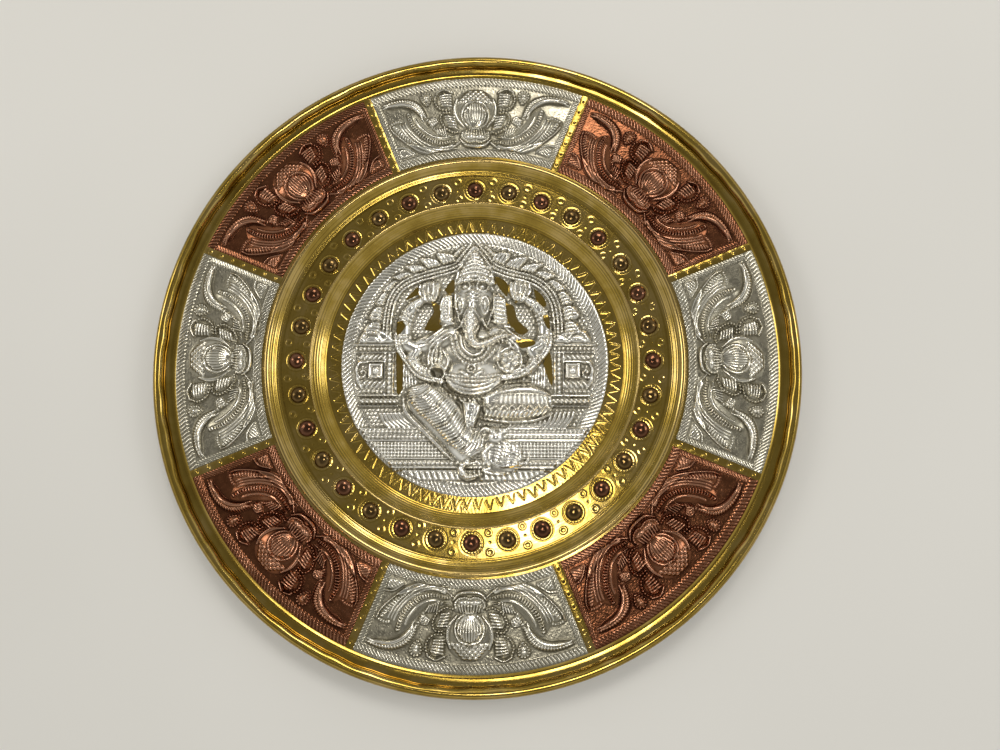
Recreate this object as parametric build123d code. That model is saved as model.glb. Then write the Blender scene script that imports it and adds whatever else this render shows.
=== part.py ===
"""Round encrusted art plate: a spun brass plate that carries repousse sheets over lac.

Units are millimetres, +Z is up, and the origin is at the centre of the face that the plate rests on.
The pictured scene on the medallion stands upright towards +Y.
"""

import os
from math import asin, atan2, cos, degrees, pi, radians, sin

from build123d import *

# The spun brass plate: the runs of its rings add up from the centre to a rim of 304.8 across
brass_thickness = 1.2
medallion_radius = 64.5
chased_band_width = 7.5
wall_run = 6.0
wall_rise = 4.8
ledge_width = 14.4
cove_run = 5.2
cove_rise = 3.0
cove_sag = 0.7
collar_width = 2.6
collar_rise = 0.7
collar_gap = 1.0
panel_depth = 41.4
rim_step_run = 1.6
rim_step_rise = 0.8
rim_band_width = 5.8

# The rolled rim and the wire inside it
wire_diameter = 2.2
wire_clearance = 0.1
roll_end_angle = 200.0

# The sheets on the flat field and the brass lands between them
panel_count = 8
sheet_thickness = 0.4
land_width = 3.6
seat_clearance = 0.05

# How high the forms of the lotus motif stand above their sheet
bud_rise = 2.4
egg_rise = 3.3
calyx_rise = 2.0
leaf_rise = 2.4
leaf_tip_rise = 2.0
petal_rise = 1.6
drop_rise = 1.3
corner_leaf_rise = 1.0

# The border of the medallion, and how high the forms of its scene stand above the sheet
medallion_border_width = 4.6
medallion_border_rise = 0.3
body_rise = 5.0
trunk_rise = 5.6
leg_rise = 4.0
sole_rise = 4.6
crown_rise = 3.8
limb_rise = 3.0
ornament_rise = 1.8
fringe_rise = 1.0

# The domed studs on the ledge
stud_count = 32
stud_diameter = 8.0
stud_rise = 2.3

# Radii and heights that follow from the sizes above
floor_radius = medallion_radius + chased_band_width
ledge_inner_radius = floor_radius + wall_run
ledge_outer_radius = ledge_inner_radius + ledge_width
stud_circle_radius = (ledge_inner_radius + ledge_outer_radius) / 2
collar_inner_radius = ledge_outer_radius + cove_run
collar_outer_radius = collar_inner_radius + collar_width
field_inner_radius = collar_outer_radius + collar_gap
field_outer_radius = field_inner_radius + panel_depth
band_inner_radius = field_outer_radius + rim_step_run
roll_centre_radius = band_inner_radius + rim_band_width
roll_bore_radius = wire_diameter / 2 + wire_clearance
roll_radius = roll_bore_radius + brass_thickness
ledge_height = brass_thickness + wall_rise
field_height = ledge_height + cove_rise
band_height = field_height + rim_step_rise
roll_centre_height = band_height + roll_bore_radius
panel_step = 360 / panel_count
panel_floor = field_height - sheet_thickness
medallion_floor = brass_thickness
medallion_ground = medallion_floor + sheet_thickness

# A form starts this share of the sheet's thickness below its face
sunk_share = 0.5
# Crowns of the forms as (height, spread) shares, from the foot up
dome_shares = ((0, 1), (0.62, 0.82), (1, 0.36))
slab_shares = ((0, 1), (1, 0.8))
egg_shares = ((0, 1), (1, 0.45))
flat_crown_share = 0.42
crest_share = 0.2


# Shapes that the reliefs share

def polar(radius, angle):
    """Point at an angle clockwise from +Y, as the panels and studs are counted."""
    return (radius * sin(radians(angle)), radius * cos(radians(angle)))


def oval(centre, width, length, sides, turn=0):
    """Even-sided outline of an ellipse, with its length along +Y turned clockwise."""
    corners = []
    for index in range(sides):
        angle = 2 * pi * index / sides
        across = width / 2 * sin(angle)
        along = length / 2 * cos(angle)
        x = centre[0] + across * cos(radians(turn)) + along * sin(radians(turn))
        y = centre[1] - across * sin(radians(turn)) + along * cos(radians(turn))
        corners.append((x, y))
    return corners


def skinned(rings):
    """Solid through rings of points, with flat facets between one ring and the next."""
    faces = [Face(Wire.make_polygon(rings[0])), Face(Wire.make_polygon(rings[-1]))]
    for low, high in zip(rings, rings[1:]):
        for index, corner in enumerate(low):
            after = (index + 1) % len(low)
            faces.append(Face(Wire.make_polygon([corner, low[after], high[after]])))
            faces.append(Face(Wire.make_polygon([corner, high[after], high[index]])))
    return Solid(Shell(faces))


def mound(points, foot, top, level_shares=slab_shares):
    """Raised form that draws in from its outline at the foot to a smaller crown."""
    middle_x = sum(x for x, _ in points) / len(points)
    middle_y = sum(y for _, y in points) / len(points)
    rings = []
    for height_share, spread_share in level_shares:
        height = foot + (top - foot) * height_share
        rings.append([
            (middle_x + (x - middle_x) * spread_share, middle_y + (y - middle_y) * spread_share, height)
            for x, y in points
        ])
    return skinned(rings)


def ridge(path, widths, foot, top, crown_share=flat_crown_share):
    """Raised form along a path, of the given width at each point, with sloped sides and a crown."""
    last = len(path) - 1
    rings = []
    for index, (x, y) in enumerate(path):
        before = path[max(index - 1, 0)]
        after = path[min(index + 1, last)]
        heading = atan2(after[1] - before[1], after[0] - before[0])
        half = widths[index] / 2
        crown = half * crown_share
        rings.append([
            (x - offset * sin(heading), y + offset * cos(heading), height)
            for offset, height in ((-half, foot), (-crown, top), (crown, top), (half, foot))
        ])
    return skinned(rings)


def joined(solids):
    return Part() + list(solids)


# The brass plate

def on_roll(radius, angle):
    """Point on the rolled rim's section, counted from its outermost side and up."""
    across = roll_centre_radius + radius * cos(radians(angle))
    return (across, roll_centre_height + radius * sin(radians(angle)))


def roll_arc(radius, start_angle, end_angle):
    middle_angle = (start_angle + end_angle) / 2
    ThreePointArc(on_roll(radius, start_angle), on_roll(radius, middle_angle), on_roll(radius, end_angle))


def plate_section():
    """Half section of the plate: spun steps, a collar bead and a rim rolled over a wire."""
    roll_start_angle = -90.0
    collar_start = (collar_inner_radius, field_height)
    collar_crown = (collar_inner_radius + collar_width / 2, field_height + collar_rise)
    collar_end = (collar_outer_radius, field_height)
    cove_radius = (ledge_outer_radius + collar_inner_radius) / 2
    cove_height = (ledge_height + field_height) / 2 - cove_sag
    steps = [
        (0, brass_thickness),
        (floor_radius, brass_thickness),
        (ledge_inner_radius, ledge_height),
        (ledge_outer_radius, ledge_height),
    ]
    under_steps = [(radius, height - brass_thickness) for radius, height in steps]
    field_under = field_height - brass_thickness
    with BuildSketch(Plane.XZ) as section:
        with BuildLine():
            Polyline(*steps)
            ThreePointArc(steps[-1], (cove_radius, cove_height), collar_start)
            ThreePointArc(collar_start, collar_crown, collar_end)
            Polyline(
                collar_end,
                (field_outer_radius, field_height),
                (band_inner_radius, band_height),
                on_roll(roll_bore_radius, roll_start_angle),
            )
            roll_arc(roll_bore_radius, roll_start_angle, roll_end_angle)
            Line(on_roll(roll_bore_radius, roll_end_angle), on_roll(roll_radius, roll_end_angle))
            roll_arc(roll_radius, roll_end_angle, roll_start_angle)
            Polyline(
                on_roll(roll_radius, roll_start_angle),
                (band_inner_radius, band_height - brass_thickness),
                (field_outer_radius, field_under),
                (collar_inner_radius, field_under),
            )
            cove_under = (cove_radius, cove_height - brass_thickness)
            ThreePointArc((collar_inner_radius, field_under), cove_under, under_steps[-1])
            Polyline(*reversed(under_steps))
            Line(under_steps[0], steps[0])
        make_face()
    return section.sketch


def panel_face(clearance=0):
    """Footprint of one sheet centred on +Y: two arcs, and sides parallel to the lands beside it."""
    inner = field_inner_radius + clearance
    outer = field_outer_radius - clearance
    land_half = land_width / 2 + clearance

    def corner(radius, hand):
        return polar(radius, hand * (panel_step / 2 - degrees(asin(land_half / radius))))

    with BuildSketch() as footprint:
        with BuildLine():
            ThreePointArc(corner(outer, -1), polar(outer, 0), corner(outer, 1))
            Line(corner(outer, 1), corner(inner, 1))
            ThreePointArc(corner(inner, 1), polar(inner, 0), corner(inner, -1))
            Line(corner(inner, -1), corner(outer, -1))
        make_face()
    return footprint.sketch


def turned(shape, index):
    """Copy of a shape modelled on +Y, turned clockwise to the place of one panel."""
    return Rot(Z=-panel_step * index) * shape


def build_base_plate():
    plate = revolve(plate_section(), axis=Axis.Z)
    pocket = Pos(Z=panel_floor) * extrude(panel_face(), amount=sheet_thickness + collar_rise)
    return plate - [turned(pocket, index) for index in range(panel_count)]


def build_rim_wire():
    section = Pos(roll_centre_radius, roll_centre_height) * Circle(wire_diameter / 2)
    return revolve(Plane.XZ * section, axis=Axis.Z)


# The lotus panels, in shares: across from -1 to 1 between the lands, outward from 0 to 1 over the depth

bud_place_shares = (0, 0.60)
bud_size_shares = (0.51, 0.50)
egg_place_shares = (0, 0.51)
egg_size_shares = (0.29, 0.34)
calyx_place_shares = (0.085, 0.245)
calyx_size_shares = (0.21, 0.21)
petal_place_shares = ((0.305, 0.72), (0.27, 0.435))
petal_size_shares = ((0.19, 0.25), (0.18, 0.24))
petal_turns = (8, 24)
drop_place_shares = (0.48, 0.78)
drop_size_shares = (0.11, 0.16)
leaf_place_shares = ((0.19, 0.20), (0.40, 0.17), (0.58, 0.24), (0.69, 0.38), (0.75, 0.52), (0.77, 0.62))
leaf_width_shares = (0.08, 0.20, 0.29, 0.34, 0.32, 0.14)
leaf_tip_place_shares = ((0.50, 0.46), (0.53, 0.66), (0.63, 0.80), (0.77, 0.85), (0.92, 0.84))
leaf_tip_width_shares = (0.05, 0.12, 0.15, 0.13, 0.04)
corner_leaf_shares = ((0.74, 0.13), (0.93, 0.14), (0.92, 0.25), (0.82, 0.22))
bud_sides = 10
egg_sides = 8
calyx_sides = 6
petal_sides = 6
drop_sides = 6


def panel_point(across_share, outward_share):
    radius = field_inner_radius + outward_share * panel_depth
    half_angle = panel_step / 2 - degrees(asin(land_width / 2 / radius))
    return polar(radius, across_share * half_angle)


def panel_oval(place_shares, size_shares, sides, shrink=0, turn=0):
    width, length = (share * panel_depth - 2 * shrink for share in size_shares)
    return oval(panel_point(*place_shares), width, length, sides, turn)


def panel_leaf(place_shares, width_shares, hand, foot, top):
    path = [panel_point(hand * across, outward) for across, outward in place_shares]
    return ridge(path, [share * panel_depth for share in width_shares], foot, top, crest_share)


def lotus_bud(foot, shrink=0):
    outline = panel_oval(bud_place_shares, bud_size_shares, bud_sides, shrink)
    return mound(outline, foot, field_height + bud_rise - shrink, dome_shares)


def lotus_forms(foot):
    """The egg on the bud, and on each side of it the calyx lobe, the petals, the drop and the leaves."""
    egg = panel_oval(egg_place_shares, egg_size_shares, egg_sides)
    forms = [lotus_bud(foot), mound(egg, foot, field_height + egg_rise, egg_shares)]
    for hand in (-1, 1):
        ovals = [
            (calyx_place_shares, calyx_size_shares, calyx_sides, calyx_rise, 0),
            (drop_place_shares, drop_size_shares, drop_sides, drop_rise, 0),
        ]
        for place, size, turn in zip(petal_place_shares, petal_size_shares, petal_turns):
            ovals.append((place, size, petal_sides, petal_rise, turn))
        for (across, outward), size, sides, rise, turn in ovals:
            outline = panel_oval((hand * across, outward), size, sides, turn=hand * turn)
            forms.append(mound(outline, foot, field_height + rise))
        leaf_top = field_height + leaf_rise
        tip_top = field_height + leaf_tip_rise
        forms.append(panel_leaf(leaf_place_shares, leaf_width_shares, hand, foot, leaf_top))
        forms.append(panel_leaf(leaf_tip_place_shares, leaf_tip_width_shares, hand, foot, tip_top))
        corner = [panel_point(hand * across, outward) for across, outward in corner_leaf_shares]
        forms.append(mound(corner, foot, field_height + corner_leaf_rise))
    return forms


def build_panel_lac():
    """Lac under the bud, level with the underside of the sheet."""
    return lotus_bud(panel_floor, sheet_thickness)


def build_panel_sheet(lac):
    ground = Pos(Z=panel_floor) * extrude(panel_face(seat_clearance), amount=sheet_thickness)
    foot = field_height - sunk_share * sheet_thickness
    return joined([ground] + lotus_forms(foot)) - lac


# The medallion, in shares of its radius: across to the right, then up the pictured scene

crown_shares = (
    (-0.16, 0.58), (-0.15, 0.70), (-0.07, 0.80), (0, 0.88), (0.07, 0.80), (0.15, 0.70), (0.16, 0.58),
)
face_place_shares = (0, 0.46)
face_size_shares = (0.34, 0.42)
ear_shares = ((0.14, 0.54), (0.24, 0.52), (0.26, 0.36), (0.19, 0.27), (0.12, 0.32))
trunk_shares = ((0, 0.44), (-0.02, 0.28), (-0.01, 0.14), (0.06, 0.08), (0.16, 0.12), (0.25, 0.16))
trunk_width_shares = (0.20, 0.17, 0.13, 0.11, 0.09, 0.05)
chest_place_shares = (0, 0.08)
chest_size_shares = (0.50, 0.30)
belly_place_shares = (0, -0.10)
belly_size_shares = (0.46, 0.38)
belt_shares = ((-0.22, -0.16), (-0.12, -0.24), (0, -0.27), (0.12, -0.24), (0.22, -0.16))
belt_width_share = 0.07
raised_arm_shares = ((0.20, 0.17), (0.40, 0.15), (0.53, 0.20), (0.48, 0.36), (0.34, 0.52))
raised_arm_width_shares = (0.16, 0.16, 0.14, 0.13, 0.12)
lowered_arm_shares = ((0.22, 0.12), (0.33, 0.06), (0.37, 0.00))
lowered_arm_width_shares = (0.16, 0.17, 0.15)
hand_place_shares = (0.28, 0.00)
hand_size_shares = (0.18, 0.20)
garland_shares = ((0.58, 0.20), (0.56, 0.06), (0.47, -0.04), (0.36, -0.11), (0.24, -0.13))
garland_width_share = 0.06
hanging_leg_shares = ((-0.52, -0.26), (-0.36, -0.30), (-0.20, -0.44), (-0.08, -0.58), (-0.09, -0.72))
hanging_leg_width_shares = (0.20, 0.30, 0.34, 0.28, 0.14)
folded_leg_shares = ((0.02, -0.30), (0.20, -0.29), (0.42, -0.30), (0.58, -0.27))
folded_leg_width_shares = (0.16, 0.24, 0.26, 0.18)
sole_shares = ((-0.05, -0.32), (0.05, -0.32), (0.07, -0.50), (0, -0.54), (-0.06, -0.50))
mouse_shares = ((0.10, -0.60), (0.20, -0.56), (0.32, -0.62), (0.36, -0.74), (0.14, -0.76))
mouse_head_place_shares = (0.18, -0.56)
mouse_head_size_shares = (0.12, 0.12)
figure_sides = 12
hand_sides = 8

arch_shares = (
    (0.05, 0.84), (0.15, 0.73), (0.31, 0.68), (0.46, 0.63), (0.57, 0.56), (0.64, 0.43), (0.65, 0.18),
)
arch_width_share = 0.08
fringe_place_shares = (
    (0.16, 0.84), (0.30, 0.79), (0.44, 0.74), (0.57, 0.66), (0.68, 0.55), (0.76, 0.43), (0.78, 0.31),
)
fringe_size_shares = (0.10, 0.14)
fringe_sides = 6
capital_shares = ((0.61, 0.14), (0.63, 0.21), (0.70, 0.26), (0.81, 0.26), (0.88, 0.21), (0.89, 0.14))
shaft_shares = ((0.60, -0.23), (0.60, 0.12), (0.88, 0.12), (0.88, -0.23))
plinth_shares = ((0.57, -0.34), (0.57, -0.25), (0.88, -0.25), (0.84, -0.34))
fret_shares = ((0.66, -0.12), (0.66, 0.02), (0.80, 0.02), (0.80, -0.12))
drape_shares = ((0.24, -0.50), (0.30, -0.40), (0.70, -0.37), (0.68, -0.50))
step_shares = (
    ((-0.73, -0.52), (0.73, -0.52), (0.69, -0.59), (-0.69, -0.59)),
    ((-0.66, -0.61), (0.66, -0.61), (0.58, -0.71), (-0.58, -0.71)),
    ((-0.54, -0.73), (0.54, -0.73), (0.44, -0.79), (-0.44, -0.79)),
)
opening_shares = (
    ((-0.53, 0.47), (-0.48, 0.54), (-0.42, 0.57), (-0.42, 0.53), (-0.49, 0.49)),
    ((-0.23, 0.55), (-0.19, 0.61), (-0.17, 0.62), (-0.17, 0.54), (-0.21, 0.53)),
    ((-0.37, 0.26), (-0.31, 0.38), (-0.28, 0.44), (-0.26, 0.30), (-0.31, 0.24)),
    ((0.17, 0.66), (0.20, 0.65), (0.25, 0.59), (0.24, 0.52), (0.19, 0.57)),
    ((0.28, 0.43), (0.31, 0.42), (0.33, 0.31), (0.40, 0.25), (0.35, 0.23), (0.28, 0.30)),
    ((0.45, 0.55), (0.51, 0.51), (0.54, 0.44), (0.50, 0.43), (0.46, 0.49)),
    ((-0.59, 0.30), (-0.56, 0.30), (-0.54, 0.26), (-0.58, 0.20)),
    ((0.57, 0.33), (0.59, 0.28), (0.58, 0.22), (0.55, 0.26)),
    ((-0.58, 0.06), (-0.55, 0.02), (-0.53, -0.08), (-0.55, -0.22), (-0.57, -0.10)),
    ((0.58, 0.05), (0.57, -0.12), (0.55, -0.14), (0.53, -0.02)),
)


def scene_points(point_shares, hand=1):
    return [(hand * x * medallion_radius, y * medallion_radius) for x, y in point_shares]


def scene_oval(place_shares, size_shares, sides, hand=1, shrink=0):
    centre = scene_points([place_shares], hand)[0]
    width, length = (share * medallion_radius - 2 * shrink for share in size_shares)
    return oval(centre, width, length, sides)


def scene_ridge(path_shares, width_shares, foot, rise, hand=1, shrink=0):
    widths = [share * medallion_radius - 2 * shrink for share in width_shares]
    return ridge(scene_points(path_shares, hand), widths, foot, medallion_ground + rise - shrink)


def scene_band(path_shares, width_share, foot, rise, hand=1):
    return scene_ridge(path_shares, [width_share] * len(path_shares), foot, rise, hand)


def scene_mound(point_shares, foot, rise, hand=1):
    return mound(scene_points(point_shares, hand), foot, medallion_ground + rise)


def figure_core(foot, shrink=0):
    """The swelling forms of the seated figure: head, belly and legs."""
    top = medallion_ground + body_rise - shrink
    face = scene_oval(face_place_shares, face_size_shares, figure_sides, shrink=shrink)
    belly = scene_oval(belly_place_shares, belly_size_shares, figure_sides, shrink=shrink)
    return [
        mound(face, foot, top, dome_shares),
        mound(belly, foot, top, dome_shares),
        scene_ridge(hanging_leg_shares, hanging_leg_width_shares, foot, leg_rise, shrink=shrink),
        scene_ridge(folded_leg_shares, folded_leg_width_shares, foot, leg_rise, shrink=shrink),
    ]


def figure_trim(foot):
    """The rest of the figure, pressed in the sheet alone: crown, ears, trunk, arms, garlands and a foot."""
    chest = scene_oval(chest_place_shares, chest_size_shares, figure_sides)
    forms = [
        scene_mound(crown_shares, foot, crown_rise),
        scene_ridge(trunk_shares, trunk_width_shares, foot, trunk_rise),
        mound(chest, foot, medallion_ground + limb_rise, dome_shares),
        scene_band(belt_shares, belt_width_share, foot, body_rise),
        scene_mound(sole_shares, foot, sole_rise),
    ]
    for hand in (-1, 1):
        palm = scene_oval(hand_place_shares, hand_size_shares, hand_sides, hand)
        forms.append(scene_mound(ear_shares, foot, limb_rise, hand))
        forms.append(scene_ridge(raised_arm_shares, raised_arm_width_shares, foot, limb_rise, hand))
        forms.append(scene_ridge(lowered_arm_shares, lowered_arm_width_shares, foot, limb_rise, hand))
        forms.append(mound(palm, foot, medallion_ground + crown_rise, dome_shares))
        forms.append(scene_band(garland_shares, garland_width_share, foot, ornament_rise, hand))
    return forms


def shrine(foot):
    """The arch, its leaf fringe, the pillars, the drapes and the stepped throne with the mouse."""
    mouse_head = scene_oval(mouse_head_place_shares, mouse_head_size_shares, hand_sides)
    forms = [scene_mound(shares, foot, ornament_rise) for shares in step_shares]
    forms.append(scene_mound(mouse_shares, foot, limb_rise))
    forms.append(mound(mouse_head, foot, medallion_ground + crown_rise))
    for hand in (-1, 1):
        forms.append(scene_band(arch_shares, arch_width_share, foot, ornament_rise, hand))
        for place in fringe_place_shares:
            leaf = scene_oval(place, fringe_size_shares, fringe_sides, hand)
            forms.append(mound(leaf, foot, medallion_ground + fringe_rise))
        for shares in (capital_shares, shaft_shares, plinth_shares):
            forms.append(scene_mound(shares, foot, ornament_rise, hand))
        forms.append(scene_mound(fret_shares, foot, limb_rise, hand))
        forms.append(scene_mound(drape_shares, foot, fringe_rise, hand))
    return forms


def build_medallion_lac():
    return joined(figure_core(medallion_floor, sheet_thickness))


def build_medallion(lac):
    foot = medallion_ground - sunk_share * sheet_thickness
    ground = Pos(Z=medallion_floor) * extrude(Circle(medallion_radius), amount=sheet_thickness)
    border_face = Circle(medallion_radius) - Circle(medallion_radius - medallion_border_width)
    border = Pos(Z=foot) * extrude(border_face, amount=medallion_ground + medallion_border_rise - foot)
    relief = joined([ground, border] + shrine(foot) + figure_core(foot) + figure_trim(foot))
    openings = []
    for shares in opening_shares:
        outline = make_face(Polyline(*scene_points(shares), close=True))
        openings.append(Pos(Z=medallion_floor) * extrude(outline, amount=trunk_rise))
    return relief - openings - lac


# The studs on the ledge

stud_sides = 8


def build_studs(first):
    """Every second domed stud of the ring, from the first one clockwise."""
    studs = []
    for index in range(first, stud_count, 2):
        centre = polar(stud_circle_radius, 360 / stud_count * index)
        outline = oval(centre, stud_diameter, stud_diameter, stud_sides)
        studs.append(mound(outline, ledge_height, ledge_height + stud_rise, dome_shares))
    return Compound(studs)


# The files, one for each piece

os.makedirs("parts", exist_ok=True)
export_step(build_base_plate(), "parts/base_plate.step")
export_step(build_rim_wire(), "parts/rim_wire.step")

panel_lac = build_panel_lac()
panel_sheet = build_panel_sheet(panel_lac)
for index in range(panel_count):
    metal = ("silver", "copper")[index % 2]
    number = index // 2 + 1
    export_step(turned(panel_sheet, index), f"parts/{metal}_panel_{number}.step")
    export_step(turned(panel_lac, index), f"parts/{metal}_panel_lac_{number}.step")

medallion_lac = build_medallion_lac()
export_step(build_medallion(medallion_lac), "parts/medallion.step")
export_step(medallion_lac, "parts/medallion_lac.step")
export_step(build_studs(0), "parts/copper_studs.step")
export_step(build_studs(1), "parts/silver_studs.step")
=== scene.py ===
"""Looks of the encrusted art plate: relief sheets, chased brass, studs, light and camera, in metres."""

import math

import bmesh
import bpy
import numpy as np
from mathutils import Matrix, Vector


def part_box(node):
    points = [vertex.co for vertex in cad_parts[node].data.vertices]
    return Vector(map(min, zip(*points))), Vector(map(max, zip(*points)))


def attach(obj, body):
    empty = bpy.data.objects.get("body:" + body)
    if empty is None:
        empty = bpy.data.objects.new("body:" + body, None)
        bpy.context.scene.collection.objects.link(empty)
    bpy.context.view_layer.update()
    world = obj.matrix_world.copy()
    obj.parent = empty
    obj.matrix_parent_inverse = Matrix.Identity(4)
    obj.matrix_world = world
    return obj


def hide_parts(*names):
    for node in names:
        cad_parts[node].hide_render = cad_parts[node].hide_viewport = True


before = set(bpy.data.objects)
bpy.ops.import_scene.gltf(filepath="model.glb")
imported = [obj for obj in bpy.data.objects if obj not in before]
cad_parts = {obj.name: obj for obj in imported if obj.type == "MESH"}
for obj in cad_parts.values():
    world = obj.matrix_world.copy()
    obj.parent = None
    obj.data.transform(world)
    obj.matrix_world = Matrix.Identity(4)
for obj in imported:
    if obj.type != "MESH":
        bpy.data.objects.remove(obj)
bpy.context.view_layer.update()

mm = 0.001
full_turn = 2 * math.pi
panel_seed = 7
chasing_seed = 7
medallion_seed = 27
plate_seed = 47
land_seed = 67
stud_seed = 87


# Sizes read from the frame

def node_radii(node):
    """Least and greatest distance of a CAD node from the plate's axis."""
    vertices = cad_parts[node].data.vertices
    flat = np.zeros(len(vertices) * 3)
    vertices.foreach_get("co", flat)
    distances = np.hypot(flat[0::3], flat[1::3])
    return distances.min(), distances.max()


panel_count = 8
stud_count = 32
plate_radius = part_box("base_plate")[1].x
plate_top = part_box("base_plate")[1].z
medallion_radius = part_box("medallion")[1].x
brass_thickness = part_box("medallion")[0].z
panel_inner, panel_outer = node_radii("silver_panel_1")
panel_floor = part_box("silver_panel_1")[0].z
stud_inner, stud_outer = node_radii("copper_studs")
stud_radius = (stud_outer - stud_inner) / 2
stud_circle = (stud_outer + stud_inner) / 2
ledge_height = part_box("copper_studs")[0].z
stud_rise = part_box("copper_studs")[1].z - ledge_height

# Sizes of the sheets and of the spun profile between the nodes above
sheet_thickness = 0.4 * mm
seat_gap = 0.05 * mm
land_width = 3.6 * mm
field_height = panel_floor + sheet_thickness
medallion_face = brass_thickness + sheet_thickness
floor_radius = medallion_radius + 7.5 * mm
ledge_inner = floor_radius + 6.0 * mm
ledge_outer = ledge_inner + 14.4 * mm
collar_inner = ledge_outer + 5.2 * mm
collar_width = 2.6 * mm
collar_rise = 0.7 * mm
rim_step_run = 1.6 * mm
rim_step_rise = 0.8 * mm
roll_radius = 2.4 * mm
roll_bore = roll_radius - brass_thickness
roll_centre = plate_radius - roll_radius
roll_height = plate_top - roll_radius
band_inner = panel_outer + rim_step_run
band_height = field_height + rim_step_rise


# Curves, profiles and patterns that the reliefs are drawn with

def curve(points, steps=6):
    """Smooth open line through the points."""
    corners = np.array(points, float)
    if len(corners) < 3:
        return corners
    before = 2 * corners[0] - corners[1]
    after = 2 * corners[-1] - corners[-2]
    corners = np.vstack([before, corners, after])
    share = np.linspace(0, 1, steps, endpoint=False)[:, None]
    runs = []
    for a, b, c, d in zip(corners, corners[1:], corners[2:], corners[3:]):
        bend = 2 * a - 5 * b + 4 * c - d
        twist = 3 * b - a - 3 * c + d
        runs.append((2 * b + (c - a) * share + bend * share ** 2 + twist * share ** 3) / 2)
    runs.append(corners[-2:-1])
    return np.vstack(runs)


def shifted(points, distance):
    """Smooth line beside another, to its left for a positive distance."""
    line = curve(points)
    heading = np.gradient(line, axis=0)
    heading /= np.hypot(heading[:, 0], heading[:, 1])[:, None]
    return line + distance * np.stack([-heading[:, 1], heading[:, 0]], axis=1)


def stations(path, shares):
    """Points at shares of the length of a path, each with the heading of the path there."""
    steps = np.diff(path, axis=0)
    lengths = np.hypot(steps[:, 0], steps[:, 1])
    run = np.concatenate([[0], np.cumsum(lengths)])
    for share in shares:
        index = min(int(np.searchsorted(run, share * run[-1], side="right")) - 1, len(steps) - 1)
        heading = steps[index] / lengths[index]
        yield path[index] + heading * (share * run[-1] - run[index]), heading


def oval(centre, wide, tall, sides=14):
    """Closed line round an oval with the given half sizes."""
    angles = np.linspace(0, full_turn, sides + 1)
    return [(centre[0] + wide * math.cos(a), centre[1] + tall * math.sin(a)) for a in angles]


def bar(start, end, height):
    """Level line."""
    return [(start, height), (end, height)]


def inside_line(line, x, y):
    """Which places lie inside a closed line."""
    found = np.zeros(np.shape(x), bool)
    for (ax, ay), (bx, by) in zip(line, np.roll(line, -1, axis=0)):
        if ay != by:
            crossing = ax + (y - ay) * (bx - ax) / (by - ay)
            found ^= ((ay > y) != (by > y)) & (x < crossing)
    return found


def round_profile(across):
    return np.clip(1 - across ** 2, 0, 1)


def flat_profile(across):
    edge = 0.3
    return np.clip((1 - np.abs(across)) / edge, 0, 1)


def plain(along, across, width):
    return 1


def rope(pitch, slant=0.35, depth=0.4):
    """Twisted strand: slanted grooves at the given pitch."""
    def pattern(along, across, width):
        wave = np.cos(full_turn * (along / pitch + slant * across))
        return 1 - depth / 2 + depth / 2 * wave
    return pattern


def beads(pitch):
    """Row of round beads."""
    def pattern(along, across, width):
        offset = (along / pitch % 1 - 0.5) * pitch / width
        return round_profile(np.hypot(offset, across)) / np.maximum(round_profile(across), 0.05)
    return pattern


def hatch(pitch, angle, depth):
    """Texture of slanted grooves for a filled outline."""
    dx, dy = math.cos(math.radians(angle)), math.sin(math.radians(angle))
    return lambda x, y: depth / 2 * np.cos(full_turn * (x * dx + y * dy) / pitch)


def diamonds(pitch, depth):
    """Texture of crossed grooves for a filled outline."""
    return lambda x, y: depth * np.cos(full_turn * (x + y) / pitch) * np.cos(full_turn * (x - y) / pitch)


def blurred(field, reach):
    """Even blur of a grid over a square that reaches so many cells each way."""
    width = 2 * reach + 1
    for axis in (0, 1):
        padding = [(0, 0), (0, 0)]
        padding[axis] = (reach + 1, reach)
        sums = np.cumsum(np.pad(field, padding, mode="edge"), axis=axis)
        ahead = np.take(sums, range(width, sums.shape[axis]), axis=axis)
        behind = np.take(sums, range(sums.shape[axis] - width), axis=axis)
        field = (ahead - behind) / width
    return field


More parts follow.
